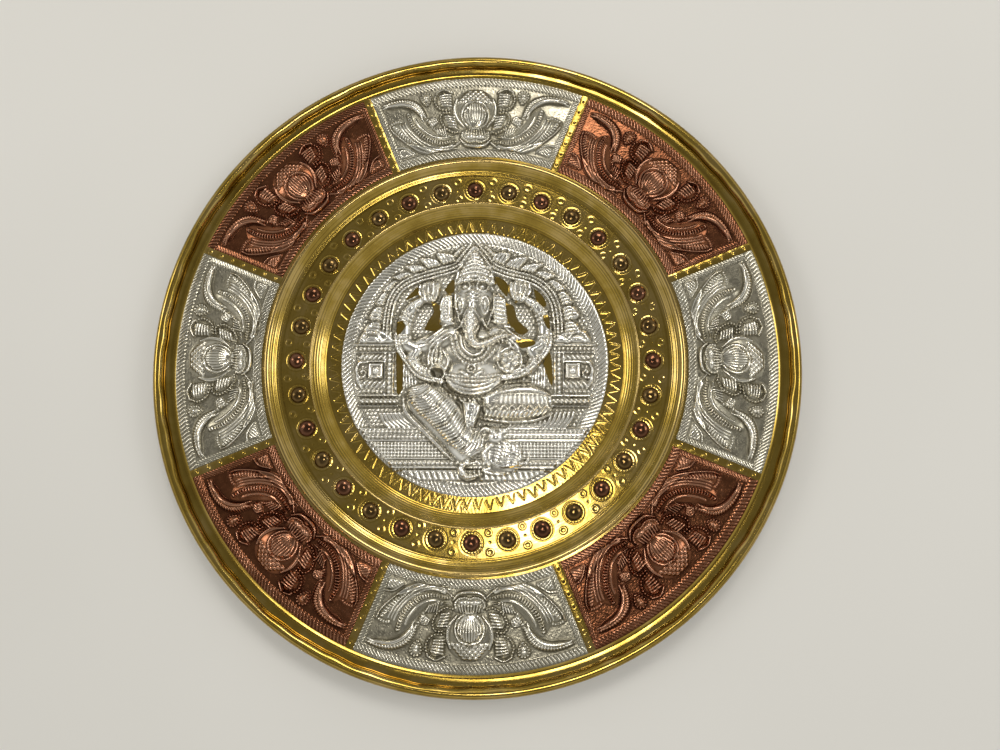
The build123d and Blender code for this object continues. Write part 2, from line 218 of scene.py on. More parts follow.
class Relief:
    """Heights in millimetres on an even drawing grid. Hand -1 mirrors what is drawn for the right."""

    def __init__(self, x_values, y_values):
        self.x, self.y = np.meshgrid(x_values, y_values)
        self.height = np.zeros_like(self.x)
        self.hand = 1

    def hands(self):
        """Has what follows drawn on the left and then on the right, where it ends."""
        for hand in (-1, 1):
            self.hand = hand
            yield hand

    def placed(self, points):
        return np.array(points, float) * (self.hand, 1)

    def window(self, points, reach):
        low = points.min(0) - reach
        high = points.max(0) + reach
        columns = slice(*np.searchsorted(self.x[0], (low[0], high[0])))
        rows = slice(*np.searchsorted(self.y[:, 0], (low[1], high[1])))
        return rows, columns

    def follow(self, line, widths):
        """Where cells near a line lie: their window, how far across it (1 is its edge) and along it."""
        window = self.window(line, widths.max())
        x, y = self.x[window], self.y[window]
        across = np.full(x.shape, 9.0)
        along = np.zeros(x.shape)
        run = 0
        for (ax, ay), (bx, by), a_width, b_width in zip(line, line[1:], widths, widths[1:]):
            dx, dy = bx - ax, by - ay
            length = max(math.hypot(dx, dy), 1e-9)
            share = np.clip(((x - ax) * dx + (y - ay) * dy) / length ** 2, 0, 1)
            off_x, off_y = x - ax - share * dx, y - ay - share * dy
            side = np.where(dx * off_y - dy * off_x < 0, -1, 1)
            here = np.hypot(off_x, off_y) / (a_width + (b_width - a_width) * share)
            closer = here < np.abs(across)
            across = np.where(closer, side * here, across)
            along = np.where(closer, run + share * length, along)
            run += length
        return window, across, along

    def put(self, window, inside, value, over):
        """Raises cells to a height, or by it where it goes over what is there."""
        here = self.height[window]
        raised = here + value if over else np.maximum(here, value)
        self.height[window] = np.where(inside, raised, here)

    def stroke(self, points, width, rise, pattern=plain, profile=round_profile, over=False, straight=False):
        """Ridge along a line. The width is half the ridge's, as one number or one for each point."""
        line = self.placed(points)
        if not straight:
            line = curve(line)
        spread = np.linspace(0, 1, np.size(width))
        widths = np.interp(np.linspace(0, 1, len(line)), spread, np.atleast_1d(width))
        window, across, along = self.follow(line, widths)
        shape = profile(across) * pattern(along, across, widths.mean())
        self.put(window, np.abs(across) < 1, rise * shape, over)

    def strokes(self, *rows):
        """Ridges from the ground up."""
        for row in rows:
            self.stroke(*row)

    def ridges(self, *rows):
        """Ridges over what is there."""
        for row in rows:
            self.stroke(*row, over=True)

    def lines(self, first, last, count, width, rise, over=True):
        """Set of ridges that change step by step from a first line to a last one."""
        first, last = np.array(first, float), np.array(last, float)
        for share in np.linspace(0, 1, count):
            self.stroke(first + (last - first) * share, width, rise, over=over)

    def dome(self, centre, size, rise, turn=0, over=False):
        """Oval swelling with the given half sizes, turned clockwise by degrees."""
        middle = self.placed([centre])
        window = self.window(middle, max(size))
        dx, dy = self.x[window] - middle[0, 0], self.y[window] - middle[0, 1]
        angle = math.radians(turn * self.hand)
        c, s = math.cos(angle), math.sin(angle)
        out = np.hypot((dx * c - dy * s) / size[0], (dx * s + dy * c) / size[1])
        self.put(window, out < 1, rise * round_profile(out), over)

    def knob(self, centre, size, rise, turn=0):
        """Oval swelling over what is there."""
        self.dome(centre, size, rise, turn, over=True)

    def fill(self, points, rise, edge, smooth=True, texture=None):
        """Cushion on an outline: it rounds up from its border over the width of the edge."""
        line = self.placed(list(points) + [points[0]])
        if smooth:
            line = curve(line)
        window, across, along = self.follow(line, np.full(len(line), float(edge)))
        x, y = self.x[window], self.y[window]
        reach = np.clip(np.abs(across), 0, 1)
        value = rise * round_profile(1 - reach)
        if texture:
            value = value + texture(x, y) * reach
        self.put(window, inside_line(line[:-1], x, y), value, over=False)

    def soften(self, share):
        """Mixes a share of a slight blur into the heights."""
        self.height = self.height * (1 - share) + blurred(self.height, 1) * share


# The lotus motif, drawn with its base on y = 0, in units of the panel's depth and of its turn round the plate

panel_units = 410
units_per_degree = 20
panel_half_units = 450
motif_step = 2.0
motif_blur_share = 0.6


def carve_bud(relief):
    """Bud with a scaled outer end, hooded sides and a ribbed egg."""
    relief.dome((0, 247), (97, 102), 2.2)
    for count in range(3, 8):
        for place in range(count):
            relief.knob(((place - (count - 1) / 2) * 23, 378 - 14 * count), (12, 10), 0.55)
    relief.knob((0, 206), (56, 68), 1.2)
    for share in np.linspace(-1, 1, 9):
        rib = [(share * 42, 262 - 30 * share ** 2), (share * 49, 220), (share * 42, 184), (share * 14, 142)]
        relief.ridges((rib, 5, 0.6))
    for hand in relief.hands():
        relief.ridges(
            ([(0, 274), (40, 262), (62, 218), (50, 170), (14, 138)], 6, 0.8),
            ([(78, 300), (93, 256), (88, 204), (56, 156)], (5, 9, 10, 5), 0.9),
        )


def carve_calyx(relief):
    """Cup under the bud, with radiating ribs, two lobes, a beaded line and a plain lip."""
    cup = [(-60, 144), (-78, 116), (-74, 82), (-44, 62), (0, 58), (44, 62), (74, 82), (78, 116), (60, 144)]
    relief.fill(cup, 1.5, 40)
    relief.lines([(-40, 142), (-50, 112)], [(40, 142), (50, 112)], 8, 5, 0.8)
    for hand in relief.hands():
        relief.knob((24, 97), (26, 14), 1.0)
        relief.ridges(([(64, 128), (70, 104), (54, 84), (24, 75), (0, 82)], 6.5, 1.0, beads(12)))
    relief.stroke([(-80, 92), (-52, 60), (0, 52), (52, 60), (80, 92)], (5, 9, 10, 9, 5), 1.7)


def carve_petals(relief):
    """Two ribbed petals with beaded borders beside the bud."""
    relief.fill([(98, 330), (130, 346), (158, 334), (166, 296), (148, 258), (112, 246), (98, 280)], 1.1, 26)
    relief.fill([(82, 180), (106, 218), (138, 224), (152, 198), (138, 158), (104, 134), (78, 138)], 1.1, 26)
    relief.lines([(104, 324), (150, 320)], [(104, 266), (144, 272)], 5, 6, 0.9)
    relief.lines([(98, 206), (138, 212)], [(90, 148), (126, 158)], 5, 6, 0.9)
    relief.strokes(
        ([(98, 334), (130, 354), (162, 342)], 6, 1.5),
        ([(160, 340), (174, 300), (156, 256), (110, 242)], 7.5, 1.9, beads(14)),
        ([(108, 228), (144, 232), (160, 200), (144, 154), (106, 126), (78, 130)], 7.5, 1.9, beads(14)),
    )


def carve_rosette(relief):
    """Drop of beads between the petals and the leaf."""
    drop = [(208, 284), (192, 312), (190, 338), (208, 352), (228, 338), (226, 310), (208, 284)]
    relief.fill(drop[:-1], 0.8, 16)
    relief.stroke(drop, 6.5, 1.5, beads(13))
    for y in (330, 316):
        relief.knob((209, y), (7, 7), 0.5)


def carve_leaf(relief):
    """Large curling leaf: a bulge, a barred rib with lines beside it, a hooked tip, hatched margins."""
    lobe = [
        (84, 82), (130, 54), (190, 42), (250, 50), (300, 78), (340, 118), (374, 168), (394, 214), (384, 240),
        (340, 240), (318, 262), (290, 284), (262, 262), (240, 205), (205, 152), (150, 112),
    ]
    hook = [
        (410, 348), (360, 358), (300, 350), (256, 324), (230, 280), (220, 222), (250, 236), (278, 280),
        (318, 308), (364, 318),
    ]
    rib = [(299, 262), (297, 215), (284, 172), (258, 128), (217, 93), (167, 78), (100, 84)]
    margin = [
        (392, 346), (340, 350), (294, 338), (254, 310), (232, 268), (222, 218), (206, 168), (178, 128),
        (136, 106),
    ]
    edge = [
        (396, 236), (394, 208), (374, 162), (339, 110), (299, 68), (247, 40), (187, 32), (127, 46), (80, 76),
    ]
    relief.fill(lobe, 1.2, 60)
    relief.fill(hook, 1.5, 26)
    for offset, rise in ((26, 0.5), (39, 0.6), (52, 0.5), (-26, 0.5)):
        relief.ridges((shifted(rib, offset)[4:], (3, 5.5, 5.5, 5.5, 3), rise))
    relief.ridges(
        (rib, (9, 14, 15, 13, 8), 1.3, rope(13, 0, 0.9), flat_profile),
        ([(334, 108), (294, 74), (240, 50), (180, 44), (120, 60)], (10, 19, 23, 21, 10), 1.1),
        (margin, (6, 12, 13, 12, 10, 8, 6, 5), 0.8, rope(12, 0.15, 0.8)),
        ([(398, 334), (352, 330), (310, 320), (276, 294), (252, 256), (240, 214)], (4, 9, 11, 10, 8, 4), 0.8),
        ([(380, 226), (366, 184), (342, 144), (314, 112)], (10, 15, 15, 8), 0.8, rope(14, 0.3, 0.9)),
    )
    relief.stroke(edge, 5, 1.2)
    relief.ridges(([(396, 242), (362, 248), (336, 240)], 7, 0.9, rope(11, 0, 0.9)))


def carve_scroll(relief):
    """Small shell and sprays in the crook of the leaf."""
    relief.dome((198, 196), (28, 22), 0.9, 30)
    relief.lines([(176, 190), (184, 214), (208, 216)], [(200, 176), (208, 188), (222, 192)], 4, 4.5, 0.6)
    relief.lines([(198, 162), (186, 128)], [(150, 150), (146, 118)], 5, 5, 0.9, over=False)
    relief.stroke([(136, 118), (126, 108), (108, 108)], 5, 0.9, beads(10))


def carve_corner(relief):
    """Hatched leaf in the corner under the large leaf."""
    outline = [(322, 52), (404, 54), (402, 104), (356, 96)]
    relief.fill(outline, 0.8, 18, texture=hatch(12, 60 * relief.hand, 0.5))
    relief.stroke([(406, 116), (366, 104), (326, 62)], 5, 1.0)


def draw_motif():
    """The whole lotus motif on its own grid."""
    x_values = np.arange(-panel_half_units, panel_half_units + motif_step, motif_step)
    relief = Relief(x_values, np.arange(0, panel_units + motif_step, motif_step))
    for hand in relief.hands():
        for carve in (carve_corner, carve_scroll, carve_rosette, carve_petals, carve_leaf):
            carve(relief)
    carve_calyx(relief)
    carve_bud(relief)
    relief.soften(motif_blur_share)
    return relief


# The medallion's scene, drawn round its centre

medallion_units = 758
medallion_cells = 176
medallion_blur_share = 0.4
border_middle = 724
border_half_width = 36
border_teeth = 190
ground_limit = 0.12
ground_reach = 684
ground_dot_pitch = 24
ground_dot_rise = 0.45
arch_left = [
    (-500, 140), (-497, 240), (-478, 350), (-430, 430), (-350, 480), (-240, 515), (-110, 555), (-60, 610),
    (-8, 678),
]
arch_right = [
    (478, 140), (475, 240), (455, 345), (402, 428), (320, 480), (200, 512), (100, 555), (52, 615), (0, 678),
]
openings = (
    [(-405, 360), (-360, 410), (-328, 435), (-320, 400), (-370, 370)],
    [(-175, 420), (-145, 465), (-120, 480), (-118, 412), (-150, 398)],
    [
        (-285, 185), (-268, 235), (-235, 290), (-245, 330), (-212, 340), (-190, 280), (-200, 220),
        (-180, 205), (-230, 180),
    ],
    [(112, 500), (150, 490), (190, 450), (188, 380), (165, 400), (135, 440)],
    [(180, 338), (220, 328), (235, 290), (250, 240), (310, 180), (260, 160), (210, 210), (185, 260)],
    [(338, 428), (385, 390), (412, 330), (385, 320), (350, 370)],
    [(-440, 230), (-405, 232), (-392, 195), (-430, 150), (-448, 180)],
    [(390, 262), (425, 262), (432, 200), (422, 180), (395, 225)],
    [(235, 120), (330, 125), (345, 95), (270, 75)],
    [(-446, 62), (-415, 25), (-400, -40), (-405, -160), (-435, -180), (-442, -60)],
    [(392, -10), (432, 52), (446, -90), (438, -135), (412, -75)],
)


def carve_border(relief):
    """Broad rim of slanted hatching with a plain line inside it."""
    out = np.hypot(relief.x, relief.y) - border_middle
    angle = np.arctan2(relief.y, relief.x)
    ring = np.clip((border_half_width - np.abs(out)) / 10, 0, 1)
    wave = np.cos(border_teeth * angle - out / 4.6)
    relief.height = np.maximum(relief.height, ring * (0.36 + 0.26 * wave))
    relief.stroke(oval((0, 0), 686, 686, 96), 6, 0.5)


def carve_arch(relief):
    """Arch of a beaded strand between a plain inner rail and a ribbed outer one."""
    for path, hand in ((arch_left, -1), (arch_right, 1)):
        relief.strokes(
            (shifted(path, 21 * hand), 10, 1.7),
            (path, 12, 2.0, beads(19)),
            (shifted(path, -22 * hand), 9, 1.4, rope(17, 0.5, 0.6)),
        )


def carve_fringe(relief):
    """Leaves that curl away from the apex round the outside of the arch, each with four ribs and a knob."""
    outline = ((-40, 0), (-58, 0.4), (-68, 0.78), (-50, 1), (-18, 0.94), (18, 0.74), (42, 0.4), (46, 0))
    for path, hand in ((arch_left, -1), (arch_right, 1)):
        for foot, along in stations(shifted(path, -34 * hand), np.linspace(0.05, 0.90, 9)):
            away = np.hypot(*foot)
            reach = min(112, 680 - away)

            def at(side, share):
                return foot + along * side + foot / away * reach * share

            relief.fill([at(*place) for place in outline], 1.8, 20)
            for side in (-26, -6, 14, 34):
                rib = [at(side, 0.04), at(side - 8, 0.40), at(side * 0.6 - 26, 0.80 - 0.004 * abs(side))]
                relief.ridges((rib, (7, 9, 5), 0.9))
            relief.knob(at(-48, 0.84), (17, 15), 1.1)


def carve_pillar(relief):
    """Pillar: domed capital, beaded and barred bands, fret block, volute and rope base."""
    capital = [(455, 110), (462, 150), (520, 185), (580, 198), (640, 180), (668, 130), (668, 102), (455, 102)]
    relief.fill(capital, 1.6, 22, smooth=False)
    relief.ridges(
        ([(520, 108), (560, 160), (610, 168), (650, 120)], 8, 0.6, rope(16, 0, 0.6)),
        ([(540, 112), (570, 135), (610, 130), (630, 108)], 7, 0.5),
    )
    relief.strokes(
        ([(458, 122), (500, 132), (530, 112)], 11, 2.0),
        (bar(455, 690, 98), 7, 1.6),
        (bar(470, 672, 76), 11, 1.5, beads(24)),
        (bar(455, 672, 54), 6, 1.5),
        (bar(510, 648, 26), 20, 1.5, rope(27, 0.5 * relief.hand, 0.8)),
        (bar(505, 660, 2), 6, 1.4),
        ([(482, 50), (482, -180)], 14, 1.2, beads(26)),
        ([(458, 52), (458, -188)], 6, 1.6),
        ([(506, 52), (506, -188)], 6, 1.6),
    )
    relief.fill([(512, -4), (512, -98), (606, -98), (606, -4)], 1.2, 10, smooth=False)
    fret = [(524, -14), (592, -14), (592, -88), (524, -88), (524, -14)]
    relief.stroke(fret, 7, 0.9, over=True, straight=True)
    relief.knob((558, -51), (20, 20), 0.9)
    volute = [(612, -2), (650, -6), (668, -50), (650, -88), (622, -84), (616, -58), (634, -46)]
    relief.dome((640, -58), (13, 13), 1.9)
    relief.strokes(
        (volute, (8, 12, 13, 11, 9, 8, 6), 1.8),
        ([(668, -60), (660, -110), (636, -150)], (12, 14, 8), 1.5),
        (bar(512, 640, -128), 24, 1.6, rope(29, 0.6 * relief.hand, 0.9)),
        (bar(510, 640, -168), 11, 1.4, beads(25)),
        (bar(440, 656, -192), 6, 1.6),
        (bar(430, 640, -222), 18, 1.7, rope(26, 0.6, 0.7)),
        (bar(428, 650, -252), 8, 1.8),
    )


def carve_drapes(relief):
    """Folded cloth that hangs over the throne on both sides."""
    for first, last, count, width in (
        ([(-525, -295), (-505, -340), (-470, -374)], [(-400, -290), (-360, -335), (-300, -374)], 7, 11),
        ([(215, -345), (205, -365), (190, -382)], [(400, -335), (385, -360), (350, -382)], 9, 11),
        ([(440, -290), (420, -340), (385, -380)], [(560, -285), (550, -320), (500, -382)], 6, 12),
    ):
        relief.lines(first, last, count, width, 1.3, over=False)
    first, last = [(345, -30), (335, -75), (330, -130)], [(398, -20), (400, -80), (396, -150)]
    for hand in relief.hands():
        relief.lines(first, last, 5, 8, 1.0, over=False)


def carve_throne(relief):
    """Stepped throne: beaded, crossed and toothed bands."""
    for top, top_reach, foot, foot_reach, edge, texture in (
        (-380, 640, -446, 600, 10, None),
        (-450, 590, -544, 505, 12, diamonds(38, 0.7)),
        (-548, 500, -604, 440, 10, None),
        (-612, 420, -668, 300, 10, hatch(30, 20, 0.8)),
    ):
        step = bar(-top_reach, top_reach, top) + bar(foot_reach, -foot_reach, foot)
        relief.fill(step, 0.9, edge, smooth=False, texture=texture)
    for y, reach, width, rise, pitch in (
        (-396, 620, 12, 1.9, 24), (-426, 600, 12, 1.9, 24), (-572, 470, 16, 2.0, 26),
    ):
        relief.stroke(bar(-reach, reach, y), width, rise, beads(pitch))
    for y, reach in ((-380, 640), (-412, 615), (-446, 600), (-544, 505), (-596, 450), (-612, 430)):
        relief.stroke(bar(-reach, reach, y), 6, 1.4)


def carve_crown(relief):
    """Tall crown with rows of scales."""
    outline = [
        (-120, 440), (-112, 490), (-92, 540), (-52, 610), (-4, 672),
        (46, 610), (92, 540), (106, 490), (112, 440),
    ]
    relief.fill(outline, 3.4, 60)
    tiers = ((462, 106), (486, 100), (510, 92), (534, 82), (558, 70), (582, 57), (606, 43), (628, 30))
    for y, reach in tiers:
        tier = [(-reach, y - 12), (-reach * 0.5, y), (0, y + 6), (reach * 0.5, y), (reach, y - 12)]
        relief.ridges((tier, 10, 0.7, beads(20)))
    for hand in relief.hands():
        relief.ridges(([(114, 452), (94, 535), (48, 612), (4, 668)], 9, 1.2))


def carve_face(relief):
    """Elephant head: scrolls on the brow, long eyes, ears and forehead marks."""
    left_ear = [(-118, 385), (-150, 400), (-190, 372), (-205, 300), (-200, 225), (-150, 205), (-116, 230)]
    right_ear = [(104, 385), (140, 402), (184, 360), (200, 280), (196, 205), (150, 200), (102, 240)]
    relief.fill(left_ear, 2.4, 26)
    relief.fill(right_ear, 2.4, 26)
    relief.ridges(
        ([(-160, 366), (-170, 300), (-162, 228)], 18, 0.9, rope(19, 0, 0.9)),
        ([(-136, 384), (-140, 300), (-134, 226)], 6, 0.8),
        ([(-172, 388), (-196, 330), (-198, 250)], 6, 0.8),
    )
    relief.lines([(116, 366), (150, 366), (178, 350)], [(112, 236), (150, 220), (192, 226)], 7, 8, 0.9)
    relief.strokes(
        ([(-118, 222), (-170, 208), (-215, 208), (-280, 196)], 10, 1.8),
        ([(104, 236), (150, 206), (205, 200)], 10, 1.8),
    )
    relief.dome((-4, 352), (122, 130), 4.8)
    for hand in (-1, 1):
        scroll = (-4 + hand * 52, 436)
        eye = (-10 + hand * 74, 322)
        relief.ridges(
            (oval(scroll, 32, 32), 8, 1.0),
            ([(-4 + hand * 108, 420), (-4 + hand * 66, 482), (-4 + hand * 8, 466)], 9, 1.1),
            (oval(eye, 20, 48), 7, 1.0),
            ([(hand * 112, 396), (hand * 106, 310), (hand * 70, 196)], (8, 10, 7), 1.3),
            ([(-6 + hand * 54, 238), (-6 + hand * 72, 204), (-6 + hand * 98, 186)], (14, 12, 6), 2.2),
        )
        relief.knob(scroll, (15, 15), 1.1)
        relief.knob(eye, (11, 30), 1.1)
    for y in (384, 362, 340):
        relief.ridges(([(-40, y), (22, y + 4)], 8, 1.1))


def carve_bands(relief, path, shares, reach, *row):
    """Ridges across a limb or trunk."""
    for point, heading in stations(curve(path), shares):
        normal = np.array((-heading[1], heading[0])) * reach * relief.hand
        relief.ridges(([point - normal, point + normal], *row))


def carve_trunk(relief):
    """Trunk with a dotted patch and a ribbed curl that turns to the right."""
    path = [(-8, 390), (-14, 300), (-20, 215), (-14, 130), (20, 92), (80, 104), (140, 134), (205, 148)]
    relief.stroke(path, (46, 54, 54, 46, 40, 36, 30, 14), 5.6)
    for row in range(-3, 4):
        for column in range(-2, 3):
            x, y = column * 20 + (row % 2) * 10, row * 18
            if math.hypot(x / 46, y / 62) < 1:
                relief.knob((x - 20, y + 222), (10, 9), 0.8)
    outline = [
        (-70, 222), (-52, 280), (-18, 294), (18, 274), (34, 222),
        (16, 168), (-20, 152), (-56, 172), (-70, 222),
    ]
    relief.ridges((outline, 7, 1.0))
    carve_bands(relief, path, np.linspace(0.56, 0.96, 8), 30, 8, 0.8)


def carve_lotus(relief):
    """Lotus bud held up by a raised hand: overlapping petals round a bright drop."""
    outline = [(205, 366), (186, 428), (212, 470), (262, 480), (312, 456), (330, 404), (302, 350), (250, 328)]
    relief.fill(outline, 2.3, 36)
    relief.lines([(208, 466), (206, 410), (232, 345)], [(316, 450), (322, 400), (278, 345)], 5, 9, 1.1)
    relief.knob((250, 362), (19, 34), 1.5, 14)


def carve_arms(relief):
    """Raised arms with beaded bands and lotus buds, lowered arms, open hand and bowl of sweets."""
    raised = [(330, 72), (392, 112), (402, 195), (384, 272), (345, 326), (292, 362)]
    lowered = [(325, 70), (352, 14), (308, -44), (245, -66)]
    first, last = [(286, 112), (236, 146), (176, 200)], [(236, 52), (196, 104), (128, 150)]
    for hand in relief.hands():
        relief.stroke([(130, 150), (230, 120), (335, 84)], (64, 56, 46), 2.5)
        relief.stroke(raised, (48, 50, 50, 46, 40, 30), 3.0)
        carve_bands(relief, raised, (0.20, 0.28, 0.50, 0.58, 0.66, 0.82), 48, 10, 1.1, beads(19))
        carve_lotus(relief)
        relief.lines(first, last, 4, (5, 11, 6), 1.1)
        relief.stroke(lowered, (42, 46, 44, 38), 2.9)
        carve_bands(relief, lowered, (0.30, 0.44, 0.72, 0.86), 44, 10, 1.1, beads(19))
    relief.dome((-205, -6), (68, 80), 3.4)
    relief.lines([(-256, -16), (-262, 26), (-250, 60)], [(-192, -12), (-186, 34), (-190, 72)], 4, 11, 1.5)
    relief.ridges(([(-174, 66), (-140, 12), (-156, -46)], (9, 14, 9), 1.7))
    relief.knob((-206, -60), (34, 28), -2.2)
    relief.ridges((oval((-206, -60), 42, 42), 9, 1.4))
    relief.dome((205, 10), (78, 82), 3.2)
    relief.ridges(
        (oval((205, 10), 70, 70, 18), 9, 1.2),
        ([(150, 88), (124, 24), (144, -42)], (9, 14, 9), 1.7),
    )
    for sweet in ((178, 44), (216, 52), (246, 24), (170, 6), (208, 12), (240, -16), (186, -32), (220, -48)):
        relief.knob(sweet, (18, 17), 1.4)


def carve_body(relief):
    """Chest, belly, necklaces, pendant, belts and sashes."""
    relief.dome((0, 60), (190, 130), 2.8)
    relief.dome((-4, -86), (170, 126), 5.2)
    pendant = (-10, -46)
    strand = [(-106, 160), (-88, 76), (-44, 22), (0, 8), (52, 26), (92, 80), (118, 108), (190, 112)]
    relief.ridges(
        (strand, 11, 1.5, beads(20)),
        ([(-78, 150), (-62, 78), (-28, 44), (0, 34), (36, 46), (64, 84)], 11, 1.5),
        ([(-132, 150), (-112, 56), (-58, -2), (0, -18), (64, 2), (118, 66)], 11, 1.5, beads(20)),
        (oval(pendant, 22, 22), 8, 1.4),
    )
    relief.knob(pendant, (10, 10), 1.2)
    for hand in (-1, 1):
        relief.ridges(([(-10 + hand * 22, -84), (-10 + hand * 60, -62)], 13, 1.1))
    for y, depth in ((-86, 14), (-108, 18)):
        belt = [(-166, y + depth), (-80, y - 4), (-4, y - 10), (80, y - 4), (162, y + depth)]
        relief.ridges((belt, 10, 1.3, beads(19)))
    for y, depth in ((-128, 40), (-150, 48), (-170, 56)):
        fold = [(-152, y + depth), (-80, y), (-4, y - 14), (80, y), (150, y + depth)]
        relief.ridges((fold, 8, 0.9))
    sash = [(-198, -116), (-164, -170), (-98, -204), (-4, -216), (86, -198), (152, -162), (186, -116)]
    relief.stroke(sash, (13, 18, 20, 20, 18, 13), 3.4, rope(27, 0.4, 0.7))


def carve_garlands(relief):
    """Garlands that hang from the raised arms to the waist."""
    left = [(-440, 165), (-432, 85), (-380, 2), (-304, -80), (-180, -112)]
    right = [(430, 165), (422, 85), (360, 2), (262, -72), (160, -92)]
    for path, hand in ((left, -1), (right, 1)):
        relief.stroke(path, 22, 2.0)
        relief.ridges(
            (shifted(path, 12 * hand), 8, 1.0, beads(17)),
            (shifted(path, -12 * hand), 8, 1.0, rope(16)),
        )


def carve_hanging_leg(relief):
    """Fluted cloth over the leg that hangs down to the foot, between a plain edge and a plain sash."""
    outline = [
        (-375, -150), (-300, -118), (-200, -125), (-140, -180), (-80, -250), (-40, -320), (0, -380),
        (62, -420), (66, -480), (20, -545), (-50, -590), (-110, -560), (-180, -480), (-290, -370),
        (-370, -285), (-400, -220),
    ]
    relief.fill(outline, 4.0, 90)
    flutes = (
        [(-352, -150), (-300, -138), (-262, -124)],
        [(-368, -206), (-286, -196), (-234, -150)],
        [(-302, -292), (-222, -272), (-158, -204)],
        [(-212, -372), (-142, -342), (-98, -274)],
        [(-132, -462), (-72, -432), (-34, -366)],
        [(-62, -510), (-26, -474), (4, -400)],
        [(-10, -534), (44, -496), (58, -430)],
    )
    for first, last, count in zip(flutes, flutes[1:], (5, 7, 7, 7, 5, 5)):
        relief.lines(first, last, count, (5, 10, 6), 0.95)
    hem = [(-396, -205), (-378, -288), (-290, -380), (-190, -478), (-112, -556)]
    relief.stroke(hem, (10, 20, 20, 18, 8), 2.6)
    relief.ridges(([(-196, -136), (-130, -206), (-66, -290), (-26, -366)], (10, 22, 20, 8), 0.9))
    relief.stroke([(-30, -560), (-66, -604), (-30, -648), (50, -632)], (26, 30, 28, 12), 3.0)
    relief.lines([(-40, -616), (-38, -656)], [(34, -608), (42, -646)], 4, 10, 1.0)
    relief.ridges(([(-96, -566), (-40, -580), (20, -560)], 12, 1.2, beads(22)))


def carve_folded_leg(relief):
    """Leg folded across the seat, with flutes and a wavy hem, and the sole in the middle."""
    outline = [
        (40, -185), (150, -130), (280, -112), (385, -134), (446, -190), (454, -250), (408, -302), (260, -336),
        (120, -326), (50, -290),
    ]
    relief.fill(outline, 3.2, 60)
    relief.ridges(([(146, -178), (250, -160), (340, -162), (410, -182)], (9, 17, 17, 9), 1.5))
    relief.lines([(160, -200), (156, -236)], [(430, -202), (436, -238)], 12, 9, 0.8)
    wave = [(76 + 24 * step, -250 - 24 * (step % 2)) for step in range(16)]
    relief.stroke(wave, 8, 1.9, over=True, straight=True)
    relief.lines([(76, -288), (60, -312)], [(436, -272), (410, -304)], 15, 9, 0.8)
    relief.stroke([(50, -322), (200, -340), (340, -332), (430, -298)], (9, 14, 14, 9), 2.6)
    sole = [(-60, -225), (0, -208), (40, -240), (34, -300), (6, -372), (-30, -392), (-50, -340)]
    relief.fill(sole, 4.2, 40)
    relief.ridges(
        ([(40, -250), (22, -310), (0, -366)], (9, 14, 9), 1.5),
        ([(-60, -228), (-42, -300), (-40, -372)], (12, 18, 9), 1.3),
    )
    for x in (-34, -14, 6):
        relief.knob((x, -386 + abs(x + 14) * 0.4), (12, 13), 1.0)


def carve_mouse(relief):
    """Mouse that sits at the foot of the throne, with a furrowed coat."""
    relief.dome((168, -530), (126, 116), 2.6, -24)
    for bend in np.linspace(-0.8, 0.8, 7):
        coat = [(70, -500 + 40 * bend), (160 + 20 * bend, -520 + 78 * bend), (266, -540 + 50 * bend)]
        relief.ridges((coat, (7, 12, 7), 0.8, rope(34, 0.5, 0.5)))
    relief.knob((212, -572), (60, 50), 1.2)
    relief.dome((126, -428), (60, 48), 3.2)
    relief.stroke([(108, -396), (64, -378), (36, -402)], (26, 18, 10), 2.8)
    for x in (112, 162):
        relief.knob((x, -390), (22, 25), 1.4)
        relief.knob((x, -390), (11, 13), -1.0)
    relief.knob((90, -418), (10, 10), 1.0)
    relief.strokes(
        ([(100, -470), (60, -520), (90, -580)], (20, 24, 16), 2.6),
        ([(92, -600), (60, -612), (120, -630), (200, -628)], (12, 14, 12, 8), 2.0),
        ([(262, -574), (304, -556), (314, -506)], (12, 10, 7), 1.9),
    )


def punch_ground(relief):
    """Punched dots in staggered rows over the plain ground between the forms."""
    row_pitch = ground_dot_pitch * 0.85
    row = np.floor(relief.y / row_pitch)
    across = (relief.x + ground_dot_pitch / 2 * (row % 2)) % ground_dot_pitch - ground_dot_pitch / 2
    along = relief.y % row_pitch - row_pitch / 2
    dot = round_profile(np.hypot(across, along) / (ground_dot_pitch * 0.38))
    ground = (relief.height < ground_limit) & (np.hypot(relief.x, relief.y) < ground_reach)
    relief.height += np.where(ground, ground_dot_rise * dot, 0)


def draw_medallion():
    """The whole medallion on its own grid of square cells."""
    values = np.arange(-medallion_cells - 1, medallion_cells + 2) * medallion_units / medallion_cells
    relief = Relief(values, values)
    for carve in (carve_throne, carve_fringe, carve_arch, carve_border, carve_drapes):
        carve(relief)
    for hand in relief.hands():
        carve_pillar(relief)
    for carve in (
        carve_mouse, carve_arms, carve_body, carve_garlands, carve_folded_leg, carve_hanging_leg,
        carve_crown, carve_face, carve_trunk, punch_ground,
    ):
        carve(relief)
    relief.soften(medallion_blur_share)
    return relief


# Meshes

# Sizes of the painted shade and painted highlight on the sheets: dark hollows and ground, bright crests and
# raised forms.
fine_reach, fine_span = 3, 0.30
broad_reach, broad_span, broad_share = 9, 1.1, 0.6
rubbed_sheen_gain, rubbed_sheen_start, rubbed_sheen_least, rubbed_sheen_most = 0.32, 0.2, -0.25, 0.3


def stippled(shape, depth, generator):
    """Fine hammered grain."""
    return blurred(generator.normal(0, depth, shape), 1)


def hump(distance, width):
    """Smooth hump: 1 at no distance, and nearly nothing at twice the width."""
    return np.exp(-(distance / width) ** 2)


def relief_shade(height):
    """How far each cell stands above (to 1) or below (to -1) the cells round it."""
    # The materials turn this into painted shade in the hollows and beside raised forms and painted highlight
    # on the crests, over patina in the hollows.
    fine = (height - blurred(height, fine_reach)) / fine_span
    broad = (height - blurred(height, broad_reach)) / broad_span
    return np.clip(fine + broad * broad_share, -1, 1)


